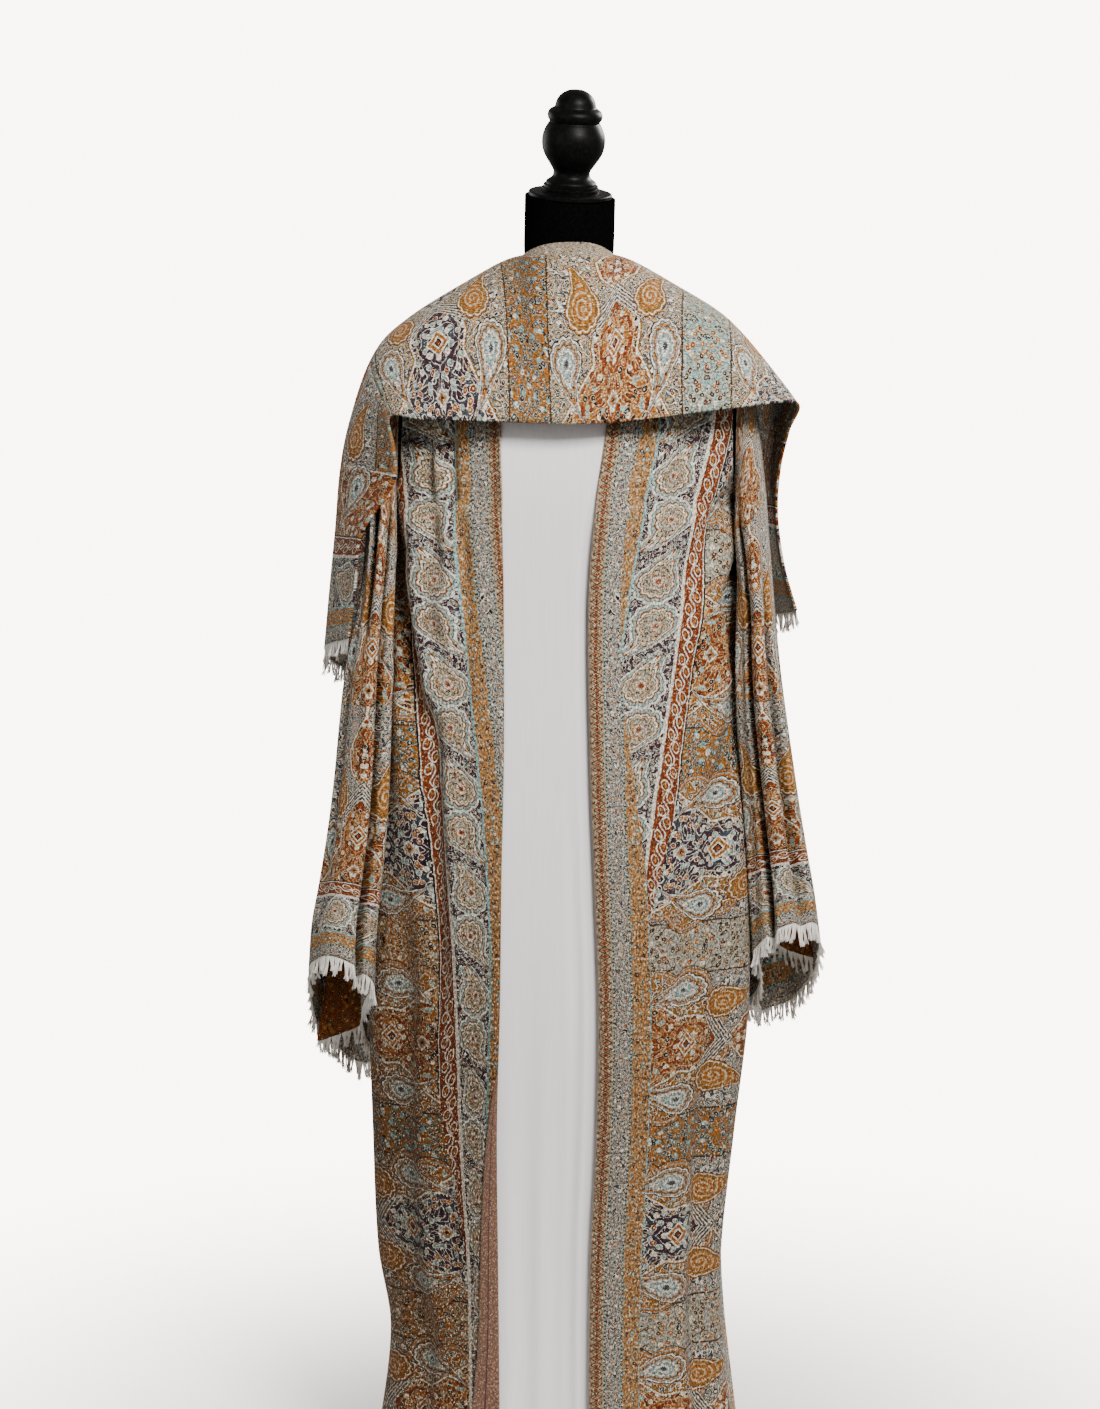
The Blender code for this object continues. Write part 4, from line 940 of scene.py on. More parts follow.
def wrong_side(name):
    """The underside of the cloth, where the loose yarns make a dull brown echo of the pattern."""
    made = start_material(name, 0.9, Sheen_Weight=0.03, Sheen_Roughness=0.4, Specular_IOR_Level=0.12)
    place = add("UVMap", uv_map="cloth")
    echo_inks = ((0.0, RUST), (0.3, BROWN), (0.55, OCHRE), (0.8, GOLD))
    echo = flowered(UNDERSIDE, place, 120.0, echo_inks, RUST, OCHRE)
    loose = add("TexNoise", add("Mapping", place, None, None, (1.0, 0.3, 1.0)), None, 700.0, 2.0, 0.7)
    speck = add("ValToRGB", loose, stops=((0.38, "#4a3c32"), (0.62, "#e8e0d8")))
    mixed = add("MixRGB", 0.8, echo, speck, blend_type="MULTIPLY")
    tree.links.new(mixed.outputs[0], shader.inputs["Base Color"])
    tree.links.new(add("Bump", 0.4, 0.0008, None, loose).outputs[0], shader.inputs["Normal"])
    return made


front_cloths = {
    "left": shawl_cloth("paisley_jacquard_left_front", PALE, PALE, shift=0.100, fall=(1.30, 0.45),
                        strip=0.037, taper=(0.86, 0.62), painted_shade=0.30, scalloped=True),
    "right": shawl_cloth("paisley_jacquard_right_front", GOLD, OCHRE, shift=0.050, fall=(1.25, 0.65),
                         narrowed=0.042, taper=(0.52, 0.30), painted_shade=0.62, scalloped=True),
}
chest_cloth = shawl_cloth("paisley_jacquard_chest", TAN, MINT)
band_cloth = shawl_cloth("paisley_jacquard", PALE, MINT, rust_depth=0.085)
cloth_back = wrong_side("jacquard_wrong_side")


# Fronts
# Two open fronts, cut with the shawl cloth's woven border down the opening. They hang from the shoulder
# seam, and soft drag creases run from the armholes into the body.
FRONT_COLUMNS, FRONT_ROWS = 60, 150
YOKE_LENGTH = 0.31
BODY_MIDDLE = Vector((0.0, 0.0, 0.8))
# Each crease's x and z where it starts, x and z where it ends, width and height
FRONT_CREASES = {
    "left": (
        (0.205, 1.150, 0.181, 1.080, 0.0070, -0.009),
        (0.188, 1.090, 0.206, 1.000, 0.0085, -0.013),
        (0.203, 1.100, 0.214, 0.960, 0.0080, 0.005),
        (0.196, 1.225, 0.124, 1.100, 0.0100, -0.006),
        (0.198, 1.190, 0.150, 1.040, 0.0110, 0.008),
        (0.178, 1.060, 0.176, 0.900, 0.0100, 0.006),
        (0.196, 0.980, 0.172, 0.820, 0.0110, -0.008),
        (0.150, 1.330, 0.126, 1.160, 0.0140, -0.005),
        (0.108, 1.290, 0.098, 1.020, 0.0140, 0.004),
        (0.070, 1.150, 0.074, 0.760, 0.0180, -0.003),
        (0.120, 0.900, 0.100, 0.600, 0.0150, 0.004),
        (0.190, 0.820, 0.160, 0.560, 0.0140, 0.006),
        (0.142, 0.700, 0.150, 0.400, 0.0120, -0.006),
        (0.110, 0.640, 0.118, 0.180, 0.0200, 0.006),
        (0.060, 0.420, 0.064, 0.070, 0.0180, -0.004),
    ),
    "right": (
        (-0.200, 1.220, -0.142, 1.060, 0.0110, 0.008),
        (-0.204, 1.160, -0.168, 0.900, 0.0090, -0.012),
        (-0.182, 1.130, -0.158, 0.960, 0.0100, 0.008),
        (-0.137, 1.300, -0.142, 1.170, 0.0080, -0.009),
        (-0.166, 1.280, -0.150, 1.080, 0.0090, -0.008),
        (-0.152, 1.250, -0.132, 1.020, 0.0100, 0.007),
        (-0.124, 1.180, -0.116, 0.940, 0.0100, -0.006),
        (-0.196, 0.980, -0.180, 0.700, 0.0130, 0.008),
        (-0.160, 0.960, -0.150, 0.600, 0.0110, -0.009),
        (-0.138, 0.900, -0.126, 0.560, 0.0110, 0.006),
        (-0.112, 0.760, -0.106, 0.300, 0.0130, 0.005),
        (-0.190, 0.560, -0.170, 0.240, 0.0160, 0.006),
        (-0.140, 0.420, -0.136, 0.070, 0.0150, -0.006),
    ),
}


def crease_height(table, x, z):
    """How far creases lift or sink the cloth at a place, each a soft line from one end to the other."""
    total = 0.0
    for start_x, start_z, end_x, end_z, width, height in table:
        run_x, run_z = end_x - start_x, end_z - start_z
        along = ((x - start_x) * run_x + (z - start_z) * run_z) / (run_x * run_x + run_z * run_z)
        if -0.2 < along < 1.2:
            held = min(max(along, 0.0), 1.0)
            away = math.hypot(x - start_x - run_x * held, z - start_z - run_z * held)
            fade = ease((along + 0.2) / 0.35) * ease((1.2 - along) / 0.5)
            total += height * fade * bump(away, width * (0.7 + 0.6 * held))
    return total


def creased(point, lift):
    """A point of the body's cloth, lifted away from the body."""
    return point + Vector((point.x * 0.55, point.y, 0.0)).normalized() * lift


def plain_front(side, u, v):
    """A front before its creases: u from the opening edge to the side, v from shoulder to hem."""
    if v < YOKE_SHARE:
        t = (v / YOKE_SHARE) ** YOKE_SPACING
        opening = edge_angle(side, UNDERARM_Z)
        start = shoulder(u)
        start.x *= side
        forward = FRONT_LEAVE_NECK + (FRONT_LEAVE_TIP - FRONT_LEAVE_NECK) * u
        leave = Vector((-side * FRONT_LEAVE_INWARD * (1.0 - u), -forward, 0.0))
        point = yoke_point(side, -1.0, start, leave, side * (opening + (90.0 - opening) * u), t, u)
        if u < 1.0:
            wanted = read(FRONT_EDGE, EDGE_COLUMNS, point.z, side_name(side))
            point.x += (wanted - point.x) * (1.0 - u) ** 3 * ease(t * 2.0)
    else:
        z = UNDERARM_Z + (HEM_Z - UNDERARM_Z) * (v - YOKE_SHARE) / (1.0 - YOKE_SHARE)
        opening = edge_angle(side, z)
        point = body_point(side * (opening + (90.0 - opening) * u), z)
    return point + Vector((0.0, -SEAM, 0.0))


def front_point(side, u, v):
    """A front with its creases, which fade out at the opening edge and the seams."""
    point = plain_front(side, u, v)
    lift = crease_height(FRONT_CREASES[side_name(side)], point.x, point.z)
    held = ease((u - 0.09) / 0.12) * ease((1.0 - u) / 0.06) * ease((1.44 - point.z) / 0.10)
    return creased(point, lift * held)


def cloth_across(shape, v, samples=24):
    """Lengths of cloth from the start of a row to evenly spaced places along it."""
    places = [shape(index / samples, v) for index in range(samples + 1)]
    run = [0.0]
    for first, second in zip(places, places[1:]):
        run.append(run[-1] + (second - first).length)
    return run


def at_share(run, share):
    """A length of cloth read between its samples."""
    place = min(max(share, 0.0), 1.0) * (len(run) - 1)
    low = min(int(place), len(run) - 2)
    return run[low] + (run[low + 1] - run[low]) * (place - low)


def cloth_height(v):
    """The height of a row on the cloth laid flat, in metres above the floor."""
    if v >= YOKE_SHARE:
        return UNDERARM_Z + (HEM_Z - UNDERARM_Z) * (v - YOKE_SHARE) / (1.0 - YOKE_SHARE)
    return UNDERARM_Z + YOKE_LENGTH * (1.0 - (v / YOKE_SHARE) ** YOKE_SPACING)


for name, side in (("left", 1.0), ("right", -1.0)):
    rows_across = {}

    def front_place(u, v):
        """Where a place of this front lies on the woven cloth, from its edge and up from the floor."""
        key = round(v, 5)
        if key not in rows_across:
            rows_across[key] = cloth_across(lambda share, row: plain_front(side, share, row), v)
        return (at_share(rows_across[key], u), cloth_height(v))

    piece = cloth_piece("front_" + name + "_cloth", FRONT_COLUMNS, FRONT_ROWS,
                        lambda u, v: front_point(side, u, v), front_place, BODY_MIDDLE)
    give_wall(piece, CLOTH, front_cloths[name], cloth_back)
    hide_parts("front_" + name)
    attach(piece, "root")


# Back
# One piece from the shoulder seams and back neck to the hem, of the same cloth without its border, hanging
# in long folds from the shoulder blades.
BACK_COLUMNS, BACK_ROWS = 132, 150
NECK_SHARE = 6.0 / 26.0
BACK_ACROSS = 0.45
BACK_CREASES = (
    (0.196, 1.220, 0.110, 1.060, 0.012, -0.006),
    (0.198, 1.150, 0.150, 0.930, 0.013, 0.006),
    (-0.200, 1.210, -0.120, 1.040, 0.013, -0.006),
    (-0.202, 1.130, -0.158, 0.900, 0.012, 0.007),
    (0.060, 1.360, 0.040, 1.080, 0.018, 0.004),
    (-0.040, 1.380, -0.058, 1.020, 0.016, -0.004),
    (0.100, 0.700, 0.112, 0.240, 0.018, -0.004),
    (-0.110, 0.820, -0.100, 0.300, 0.017, 0.004),
)


def plain_back(u, v):
    """The back before its creases: u from the wearer's left round to the right, v from top to hem."""
    angle = 90.0 + 180.0 * u
    side = 1.0 if u < 0.5 else -1.0
    from_side = min(u, 1.0 - u)
    shoulder_share = (1.0 - NECK_SHARE) / 2.0
    if v >= YOKE_SHARE:
        return body_point(angle, cloth_height(v)) + Vector((0.0, SEAM, 0.0))
    if from_side <= shoulder_share:
        along = 1.0 - from_side / shoulder_share
        start = shoulder(along)
        start.x *= side
        leave = Vector((0.0, BACK_LEAVE, 0.0))
        nearness = along
    else:
        turn = math.pi * (u - shoulder_share) / NECK_SHARE
        behind = math.sin(turn)
        start = Vector((NECK_X * math.cos(turn), BACK_NECK_Y * behind, NECK_Z - BACK_NECK_DROP * behind))
        backward = BACK_LEAVE + (BACK_NECK_LEAVE - BACK_LEAVE) * behind
        leave = Vector((0.0, backward, -BACK_NECK_LEAVE_DOWN * behind))
        nearness = 0.0
    t = (v / YOKE_SHARE) ** YOKE_SPACING
    return yoke_point(side, 1.0, start, leave, angle, t, nearness) + Vector((0.0, SEAM, 0.0))


def back_point(u, v):
    """The back with its creases, which fade out at the seams and the neck."""
    point = plain_back(u, v)
    lift = crease_height(BACK_CREASES, point.x, point.z)
    held = ease(u / 0.05) * ease((1.0 - u) / 0.05) * ease((1.42 - point.z) / 0.08)
    return creased(point, lift * held)


rows_across = {}


def back_place(u, v):
    """Where a place of the back lies on the cloth, mirrored at its centre and level with the fronts."""
    key = round(v, 5)
    if key not in rows_across:
        rows_across[key] = cloth_across(plain_back, v, 40)
    run = rows_across[key]
    return (BACK_ACROSS + abs(at_share(run, u) - run[-1] * 0.5), cloth_height(v))


back = cloth_piece("back_cloth", BACK_COLUMNS, BACK_ROWS, back_point, back_place, BODY_MIDDLE)
give_wall(back, CLOTH, band_cloth, cloth_back)
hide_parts("abaya_back")
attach(back, "root")


# Sleeves
# Wide straight sleeves set into the armholes. The shawl cloth's end border runs round the cuff, which hangs
# open and lower at the back, and the upper arm falls in long rolls with deep creases between them.
RING_COLUMNS = ("outer_x", "outer_z", "inner_x", "inner_z", "half_depth", "mid_y", "slant")
SLEEVE_RINGS = {
    "right": (
        (0.1937, 1.398, 0.2018, 1.200, 0.072, 0.000, 0.00),
        (0.2160, 1.356, 0.1975, 1.199, 0.074, 0.000, 0.00),
        (0.2290, 1.296, 0.1960, 1.180, 0.077, -0.004, 0.00),
        (0.2350, 1.226, 0.1970, 1.152, 0.081, -0.010, 0.00),
        (0.2390, 1.150, 0.2010, 1.115, 0.085, -0.014, 0.00),
        (0.2470, 1.080, 0.2040, 1.062, 0.090, -0.017, 0.00),
        (0.2610, 1.010, 0.2040, 1.005, 0.096, -0.018, 0.00),
        (0.2690, 0.940, 0.2050, 0.940, 0.100, -0.018, 0.03),
        (0.2760, 0.870, 0.2070, 0.868, 0.104, -0.016, 0.08),
        (0.2850, 0.800, 0.2110, 0.793, 0.108, -0.012, 0.16),
        (0.2950, 0.730, 0.2170, 0.716, 0.112, -0.008, 0.34),
        (0.3050, 0.664, 0.2220, 0.642, 0.115, -0.004, 0.56),
        (0.3120, 0.596, 0.2230, 0.562, 0.117, 0.000, 0.78),
    ),
    "left": (
        (0.1937, 1.398, 0.1958, 1.200, 0.072, 0.000, 0.00),
        (0.2120, 1.356, 0.1915, 1.199, 0.074, 0.000, 0.00),
        (0.2230, 1.296, 0.1890, 1.180, 0.077, -0.004, 0.00),
        (0.2310, 1.226, 0.1890, 1.152, 0.081, -0.010, 0.00),
        (0.2370, 1.150, 0.1940, 1.118, 0.084, -0.016, 0.00),
        (0.2430, 1.080, 0.1970, 1.068, 0.088, -0.020, 0.00),
        (0.2500, 1.010, 0.1960, 1.008, 0.091, -0.022, 0.00),
        (0.2580, 0.950, 0.1980, 0.948, 0.094, -0.022, 0.03),
        (0.2670, 0.890, 0.2020, 0.886, 0.097, -0.018, 0.08),
        (0.2760, 0.830, 0.2060, 0.824, 0.100, -0.014, 0.18),
        (0.2860, 0.770, 0.2090, 0.760, 0.104, -0.008, 0.32),
        (0.2960, 0.710, 0.2120, 0.690, 0.107, -0.004, 0.50),
        (0.3040, 0.648, 0.2140, 0.618, 0.109, 0.000, 0.70),
    ),
}
SLEEVE_SQUARENESS = 2.3
SLEEVE_CLEAR, SLEEVE_TOUCH, BODY_MARGIN = 0.006, 0.0020, 0.009
TOUCH_Y, TOUCH_WIDTH, TOUCH_LOW_Z, TOUCH_HIGH_Z = 0.035, 0.026, 0.70, 0.98
SLEEVE_LENGTH, SLEEVE_ROUND, SLEEVE_SIDES, SLEEVE_ROWS = 0.82, 0.44, 160, 110
SLEEVE_MIDDLE_X, SLEEVE_MIDDLE_Z = 0.245, 0.9
# At a fringed end the woven cloth starts this far inside its border's outer line
CLOTH_END = 0.019
# Each roll's turn round the sleeve and width in degrees, depth, start and end along the sleeve, and drift
SLEEVE_CREASES = {
    "right": (
        (70.0, 8.0, -0.036, 0.04, 0.50, 6.0),
        (112.0, 4.3, -0.040, 0.14, 1.10, 3.0),
        (92.0, 8.0, 0.008, 0.16, 0.90, 6.0),
        (133.0, 7.0, 0.013, 0.18, 1.10, 0.0),
        (156.0, 5.5, -0.014, 0.25, 1.10, 0.0),
        (50.0, 6.0, -0.010, 0.30, 0.95, -10.0),
        (40.0, 9.0, 0.008, 0.35, 1.10, -6.0),
        (236.0, 12.0, -0.014, 0.35, 1.10, -6.0),
        (262.0, 9.0, 0.008, 0.20, 0.90, 5.0),
        (288.0, 10.0, -0.015, 0.25, 1.10, 4.0),
        (330.0, 12.0, 0.005, 0.40, 1.10, 0.0),
    ),
    "left": (
        (66.0, 7.0, -0.020, 0.26, 1.10, 6.0),
        (118.0, 4.6, -0.036, 0.16, 1.10, -6.0),
        (92.0, 9.0, 0.011, 0.22, 0.95, 0.0),
        (44.0, 8.0, 0.009, 0.40, 1.10, 4.0),
        (30.0, 6.0, -0.009, 0.35, 1.00, 10.0),
        (146.0, 8.0, 0.010, 0.28, 1.10, 4.0),
        (230.0, 11.0, -0.014, 0.30, 1.10, 6.0),
        (252.0, 9.0, 0.007, 0.20, 0.90, -3.0),
        (276.0, 11.0, -0.011, 0.22, 1.10, -4.0),
        (318.0, 12.0, -0.009, 0.45, 1.10, 0.0),
    ),
}
# Short slanting wrinkles of the upper sleeve: turn, place along, slope, length, width and height
WRINKLES = {
    "right": (
        (60.0, 0.24, 0.0012, 60.0, 0.020, -0.004),
        (110.0, 0.31, -0.0010, 50.0, 0.018, 0.004),
        (70.0, 0.42, 0.0014, 46.0, 0.018, -0.003),
        (120.0, 0.52, -0.0012, 44.0, 0.022, 0.003),
        (250.0, 0.30, 0.0012, 60.0, 0.022, -0.004),
        (300.0, 0.46, -0.0010, 50.0, 0.020, 0.003),
    ),
    "left": (
        (64.0, 0.26, -0.0012, 56.0, 0.020, -0.004),
        (112.0, 0.35, 0.0012, 48.0, 0.018, 0.004),
        (84.0, 0.45, -0.0010, 50.0, 0.020, -0.003),
        (118.0, 0.58, 0.0010, 40.0, 0.020, 0.003),
        (240.0, 0.34, -0.0012, 60.0, 0.022, -0.004),
        (296.0, 0.50, 0.0010, 50.0, 0.020, 0.003),
    ),
}


def body_reach(side, y, z, margin):
    """How far out the body reaches at a place along the depth, for the sleeve to stay clear."""
    z = min(z, UNDERARM_Z)
    across = read(BODY, BODY_COLUMNS, z, side_name(side))
    deep = read(BODY, BODY_COLUMNS, z, "front" if y < 0.0 else "back")
    share = min(abs(y) / (deep + 0.010), 1.0)
    return (across + margin) * (1.0 - share**BODY_SQUARENESS) ** (1.0 / BODY_SQUARENESS)


def sleeve_point(side, turn, along):
    """A sleeve: turn in degrees from its outer line round by the front, along from 0 to 1."""
    name = side_name(side)
    values = {
        column: through([row[index] for row in SLEEVE_RINGS[name]], along)
        for index, column in enumerate(RING_COLUMNS)
    }
    around = math.radians(turn)
    exponent = 2.0 / (2.0 + (SLEEVE_SQUARENESS - 2.0) * ease(along * 4.0))
    crease = 0.0
    for centre, width, depth, start, end, drift in SLEEVE_CREASES[name]:
        grown = ease((along - start) / 0.22) * ease((end - along) / 0.2)
        crease += depth * grown * bump(turn - centre - drift * along, width)
    for centre, place, slope, length, width, height in WRINKLES[name]:
        across = turn - centre
        crease += height * bump(across, length * 0.5) * bump(along - place - slope * across, width)
    outer = Vector((values["outer_x"], 0.0, values["outer_z"]))
    inner = Vector((values["inner_x"], 0.0, values["inner_z"]))
    middle = (outer + inner) * 0.5
    half = (outer - inner) * 0.5
    point = middle + half * (power(math.cos(around), exponent) * (1.0 + crease / half.length * 0.6))
    point.y = values["mid_y"] - power(math.sin(around), exponent) * (values["half_depth"] + crease)
    point.z -= values["slant"] * point.y
    if along > 0.05:
        nearer = bump(point.y - TOUCH_Y, TOUCH_WIDTH) * ease((point.z - TOUCH_LOW_Z) / 0.12)
        clear = SLEEVE_CLEAR + (SLEEVE_TOUCH - SLEEVE_CLEAR) * nearer
        margin = BODY_MARGIN * (1.0 - 0.96 * nearer * ease((point.z - TOUCH_HIGH_Z) / 0.08))
        point.x = max(point.x, body_reach(side, point.y, point.z, margin) + clear)
    point.x *= side
    return point


for name, side in (("left", 1.0), ("right", -1.0)):
    piece = cloth_piece("sleeve_" + name + "_cloth", SLEEVE_SIDES, SLEEVE_ROWS,
                        lambda u, v: sleeve_point(side, 360.0 * u, v),
                        lambda u, v: (CLOTH_END + SLEEVE_LENGTH * (1.0 - v), SLEEVE_ROUND * u),
                        Vector((side * SLEEVE_MIDDLE_X, 0.0, SLEEVE_MIDDLE_Z)), seam_merge=True)
    give_wall(piece, CLOTH, band_cloth, band_cloth)
    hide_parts("sleeve_" + name)
    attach(piece, "root")


# Inner panel
# A plain light grey crepe panel behind the open fronts, whose pebbled grain keeps it matt. It hangs flat
# from above the chest, sinks back a little beside the left front, and soft folds grow in it toward the hem.
CREPE, PANEL_SET_BACK, PANEL_TUCK, PANEL_EDGE = 0.0015, 0.0024, 0.1, 0.12
PANEL_TOP, PANEL_WIDTH, PANEL_LENGTH = 5.0 / 20.0, 0.15, 1.28
PANEL_COLUMNS, PANEL_ROWS = 50, 120
BEHIND_PANEL = Vector((0.0, 0.3, 0.8))
PANEL_SINK, SINK_START, SINK_TOP_Z = 0.010, 0.77, 1.26
# Each soft fold's place across the panel, width and depth
PANEL_FOLDS = ((0.30, 0.10, 0.006), (0.64, 0.12, 0.007))
FOLDS_TOP_Z, FINE_TOP_Z = 0.74, 0.95


def panel_point(u, v):
    """The inner panel: u from behind the right front to behind the left one, v from top to hem."""
    row = PANEL_TOP + (1.0 - PANEL_TOP) * v
    right = plain_front(-1.0, 0.0, row)
    left = plain_front(1.0, 0.0, row)
    if u < PANEL_EDGE:
        point = plain_front(-1.0, PANEL_TUCK * (1.0 - u / PANEL_EDGE), row)
    elif u > 1.0 - PANEL_EDGE:
        point = plain_front(1.0, PANEL_TUCK * (1.0 - (1.0 - u) / PANEL_EDGE), row)
    else:
        t = (u - PANEL_EDGE) / (1.0 - 2.0 * PANEL_EDGE)
        point = right.lerp(left, t)
        soft = sum(depth * bump(t - across, width) for across, width, depth in PANEL_FOLDS)
        fine = 0.0034 * ease((FINE_TOP_Z - point.z) / 0.3) * bump(t - 0.76 - 0.05 * (0.85 - point.z), 0.05)
        point.y += ease((FOLDS_TOP_Z - point.z) / 0.45) * soft + fine
    sunk = PANEL_SINK * ease((SINK_TOP_Z - point.z) / 0.12)
    point.y += sunk * ease((u - SINK_START) / (1.0 - PANEL_EDGE - SINK_START))
    slope = ease((right.z - UNDERARM_Z) / 0.15)
    return point + Vector((0.0, PANEL_SET_BACK * (1.0 + slope), 0.0))


crepe = start_material("light_grey_crepe", 0.86, Sheen_Weight=0.15, Sheen_Roughness=0.5)
place = add("TexCoord").outputs["Object"]
grain = add("TexNoise", add("Mapping", place, None, None, (1.0, 1.0, 0.4)), None, 520.0, 2.0, 0.6)
slub = add("TexNoise", add("Mapping", place, None, None, (420.0, 420.0, 9.0)), None, 1.0, 2.0, 0.5)
shade = add("ValToRGB", slub, stops=((0.3, "#dad8d9"), (0.7, "#e0dedf")))
tree.links.new(shade.outputs[0], shader.inputs["Base Color"])
relief = add("Math", grain, 0.8, slub, operation="MULTIPLY_ADD")
tree.links.new(add("Bump", 0.22, 0.0006, None, relief).outputs[0], shader.inputs["Normal"])
panel = cloth_piece("inner_panel_cloth", PANEL_COLUMNS, PANEL_ROWS, panel_point,
                    lambda u, v: (PANEL_WIDTH * u, PANEL_LENGTH * (1.0 - v)), BEHIND_PANEL)
give_wall(panel, CREPE, crepe, crepe)
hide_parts("inner_panel")
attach(panel, "root")


# Shawl
# The matching shawl, folded lengthwise in three and laid across the chest. It passes over both shoulders,
# where its fold stands out a little, and its two fringed ends hang down outside the sleeves.
SHAWL_COLUMNS = ("back", "over", "front", "edge")
SHAWL = (
    ((-0.236, 0.112, 0.986), (-0.279, 0.060, 0.996), (-0.290, -0.006, 1.026), (-0.258, -0.066, 1.042)),
    ((-0.230, 0.120, 1.080), (-0.272, 0.058, 1.084), (-0.283, -0.008, 1.094), (-0.249, -0.076, 1.104)),
    ((-0.224, 0.120, 1.160), (-0.265, 0.056, 1.162), (-0.275, -0.016, 1.164), (-0.240, -0.100, 1.166)),
    ((-0.218, 0.116, 1.232), (-0.257, 0.054, 1.233), (-0.266, -0.030, 1.233), (-0.201, -0.122, 1.228)),
    ((-0.213, 0.106, 1.292), (-0.248, 0.048, 1.295), (-0.254, -0.038, 1.290), (-0.200, -0.122, 1.266)),
    ((-0.206, 0.094, 1.348), (-0.225, 0.032, 1.374), (-0.229, -0.046, 1.357), (-0.205, -0.116, 1.303)),
    ((-0.172, 0.080, 1.392), (-0.189, 0.007, 1.4135), (-0.186, -0.065, 1.388), (-0.168, -0.134, 1.301)),
    ((-0.122, 0.060, 1.432), (-0.124, 0.000, 1.4538), (-0.120, -0.078, 1.412), (-0.115, -0.145, 1.300)),
    ((-0.074, 0.022, 1.471), (-0.071, -0.020, 1.4785), (-0.064, -0.092, 1.412), (-0.060, -0.150, 1.298)),
    ((-0.038, -0.050, 1.495), (-0.037, -0.074, 1.476), (-0.034, -0.118, 1.395), (-0.030, -0.152, 1.297)),
    ((0.002, -0.062, 1.501), (0.002, -0.082, 1.478), (0.002, -0.121, 1.394), (0.002, -0.153, 1.296)),
    ((0.038, -0.050, 1.496), (0.037, -0.074, 1.477), (0.036, -0.118, 1.396), (0.032, -0.152, 1.297)),
    ((0.074, 0.022, 1.471), (0.071, -0.020, 1.4785), (0.066, -0.092, 1.412), (0.062, -0.150, 1.299)),
    ((0.124, 0.060, 1.432), (0.128, 0.000, 1.4512), (0.124, -0.078, 1.412), (0.122, -0.144, 1.306)),
    ((0.176, 0.080, 1.396), (0.190, 0.008, 1.4110), (0.192, -0.066, 1.388), (0.190, -0.130, 1.314)),
    ((0.214, 0.096, 1.342), (0.234, 0.042, 1.350), (0.253, -0.030, 1.335), (0.262, -0.094, 1.318)),
    ((0.216, 0.114, 1.298), (0.236, 0.072, 1.294), (0.251, 0.010, 1.288), (0.257, -0.052, 1.284)),
    ((0.212, 0.130, 1.236), (0.234, 0.092, 1.236), (0.245, 0.040, 1.236), (0.250, -0.016, 1.238)),
    ((0.214, 0.138, 1.180), (0.237, 0.100, 1.180), (0.248, 0.050, 1.182), (0.248, -0.006, 1.184)),
    ((0.220, 0.142, 1.120), (0.245, 0.106, 1.120), (0.256, 0.055, 1.120), (0.257, -0.003, 1.122)),
    ((0.228, 0.146, 1.052), (0.255, 0.110, 1.054), (0.268, 0.062, 1.060), (0.273, 0.002, 1.068)),
)
FOLDED_SHAWL, SHAWL_ROWS, TAIL_COLUMNS, CHEST_COLUMNS = 0.003, 44, 60, 150
FOLDED_WIDTH, BORDER_WIDTH, TENT_PHASE, MAP_LINE = 0.27, 0.1535, 0.0555, 0.7
RIGHT_SHOULDER_STATION, MIDDLE_STATION, LEFT_SHOULDER_STATION, STATION_GAP = 5.0, 10.0, 15.0, 0.02
SHAWL_MIDDLE = Vector((0.0, 0.0, 1.15))
shawl_lines = [[Vector(row[column]) for row in SHAWL] for column in range(len(SHAWL_COLUMNS))]


def shawl_point(station, across):
    """The folded shawl: station counts along its table, across from back edge to front edge."""
    share = station / (len(SHAWL) - 1)
    return through([through(line, share) for line in shawl_lines], across)


def shawl_run(station, across, samples=60):
    """Length of shawl from the middle of the chest to a station, negative to the wearer's right."""
    count = station - MIDDLE_STATION
    places = [shawl_point(MIDDLE_STATION + count * index / samples, across) for index in range(samples + 1)]
    length = sum((second - first).length for first, second in zip(places, places[1:]))
    return math.copysign(length, count)


last_station = len(SHAWL) - 1.0
STRETCHES = (
    ("tail_right", 0.0, RIGHT_SHOULDER_STATION - STATION_GAP, TAIL_COLUMNS),
    ("chest", RIGHT_SHOULDER_STATION, LEFT_SHOULDER_STATION, CHEST_COLUMNS),
    ("tail_left", LEFT_SHOULDER_STATION + STATION_GAP, last_station, TAIL_COLUMNS),
)
for name, start, end, columns in STRETCHES:
    runs = {}

    def stretch_station(u):
        """The station at a share of this stretch."""
        return start + (end - start) * u

    def stretch_place(u, v):
        """Metres along the shawl from the chest's middle or up from a tail's end, and across it."""
        key = round(u, 5)
        if key not in runs:
            runs[key] = shawl_run(stretch_station(u), MAP_LINE)
        if name == "chest":
            return (BORDER_WIDTH + FOLDED_WIDTH * (1.0 - v), TENT_PHASE + runs[key])
        if "end" not in runs:
            runs["end"] = shawl_run(0.0 if name == "tail_right" else last_station, MAP_LINE)
        return (CLOTH_END + abs(runs["end"] - runs[key]), FOLDED_WIDTH * (1.0 - v))

    piece = cloth_piece("shawl_" + name + "_cloth", columns, SHAWL_ROWS,
                        lambda u, v: shawl_point(stretch_station(u), v), stretch_place, SHAWL_MIDDLE)
    right_side = chest_cloth if name == "chest" else band_cloth
    give_wall(piece, FOLDED_SHAWL, right_side, right_side)
    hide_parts("shawl_" + name)
    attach(piece, "root")


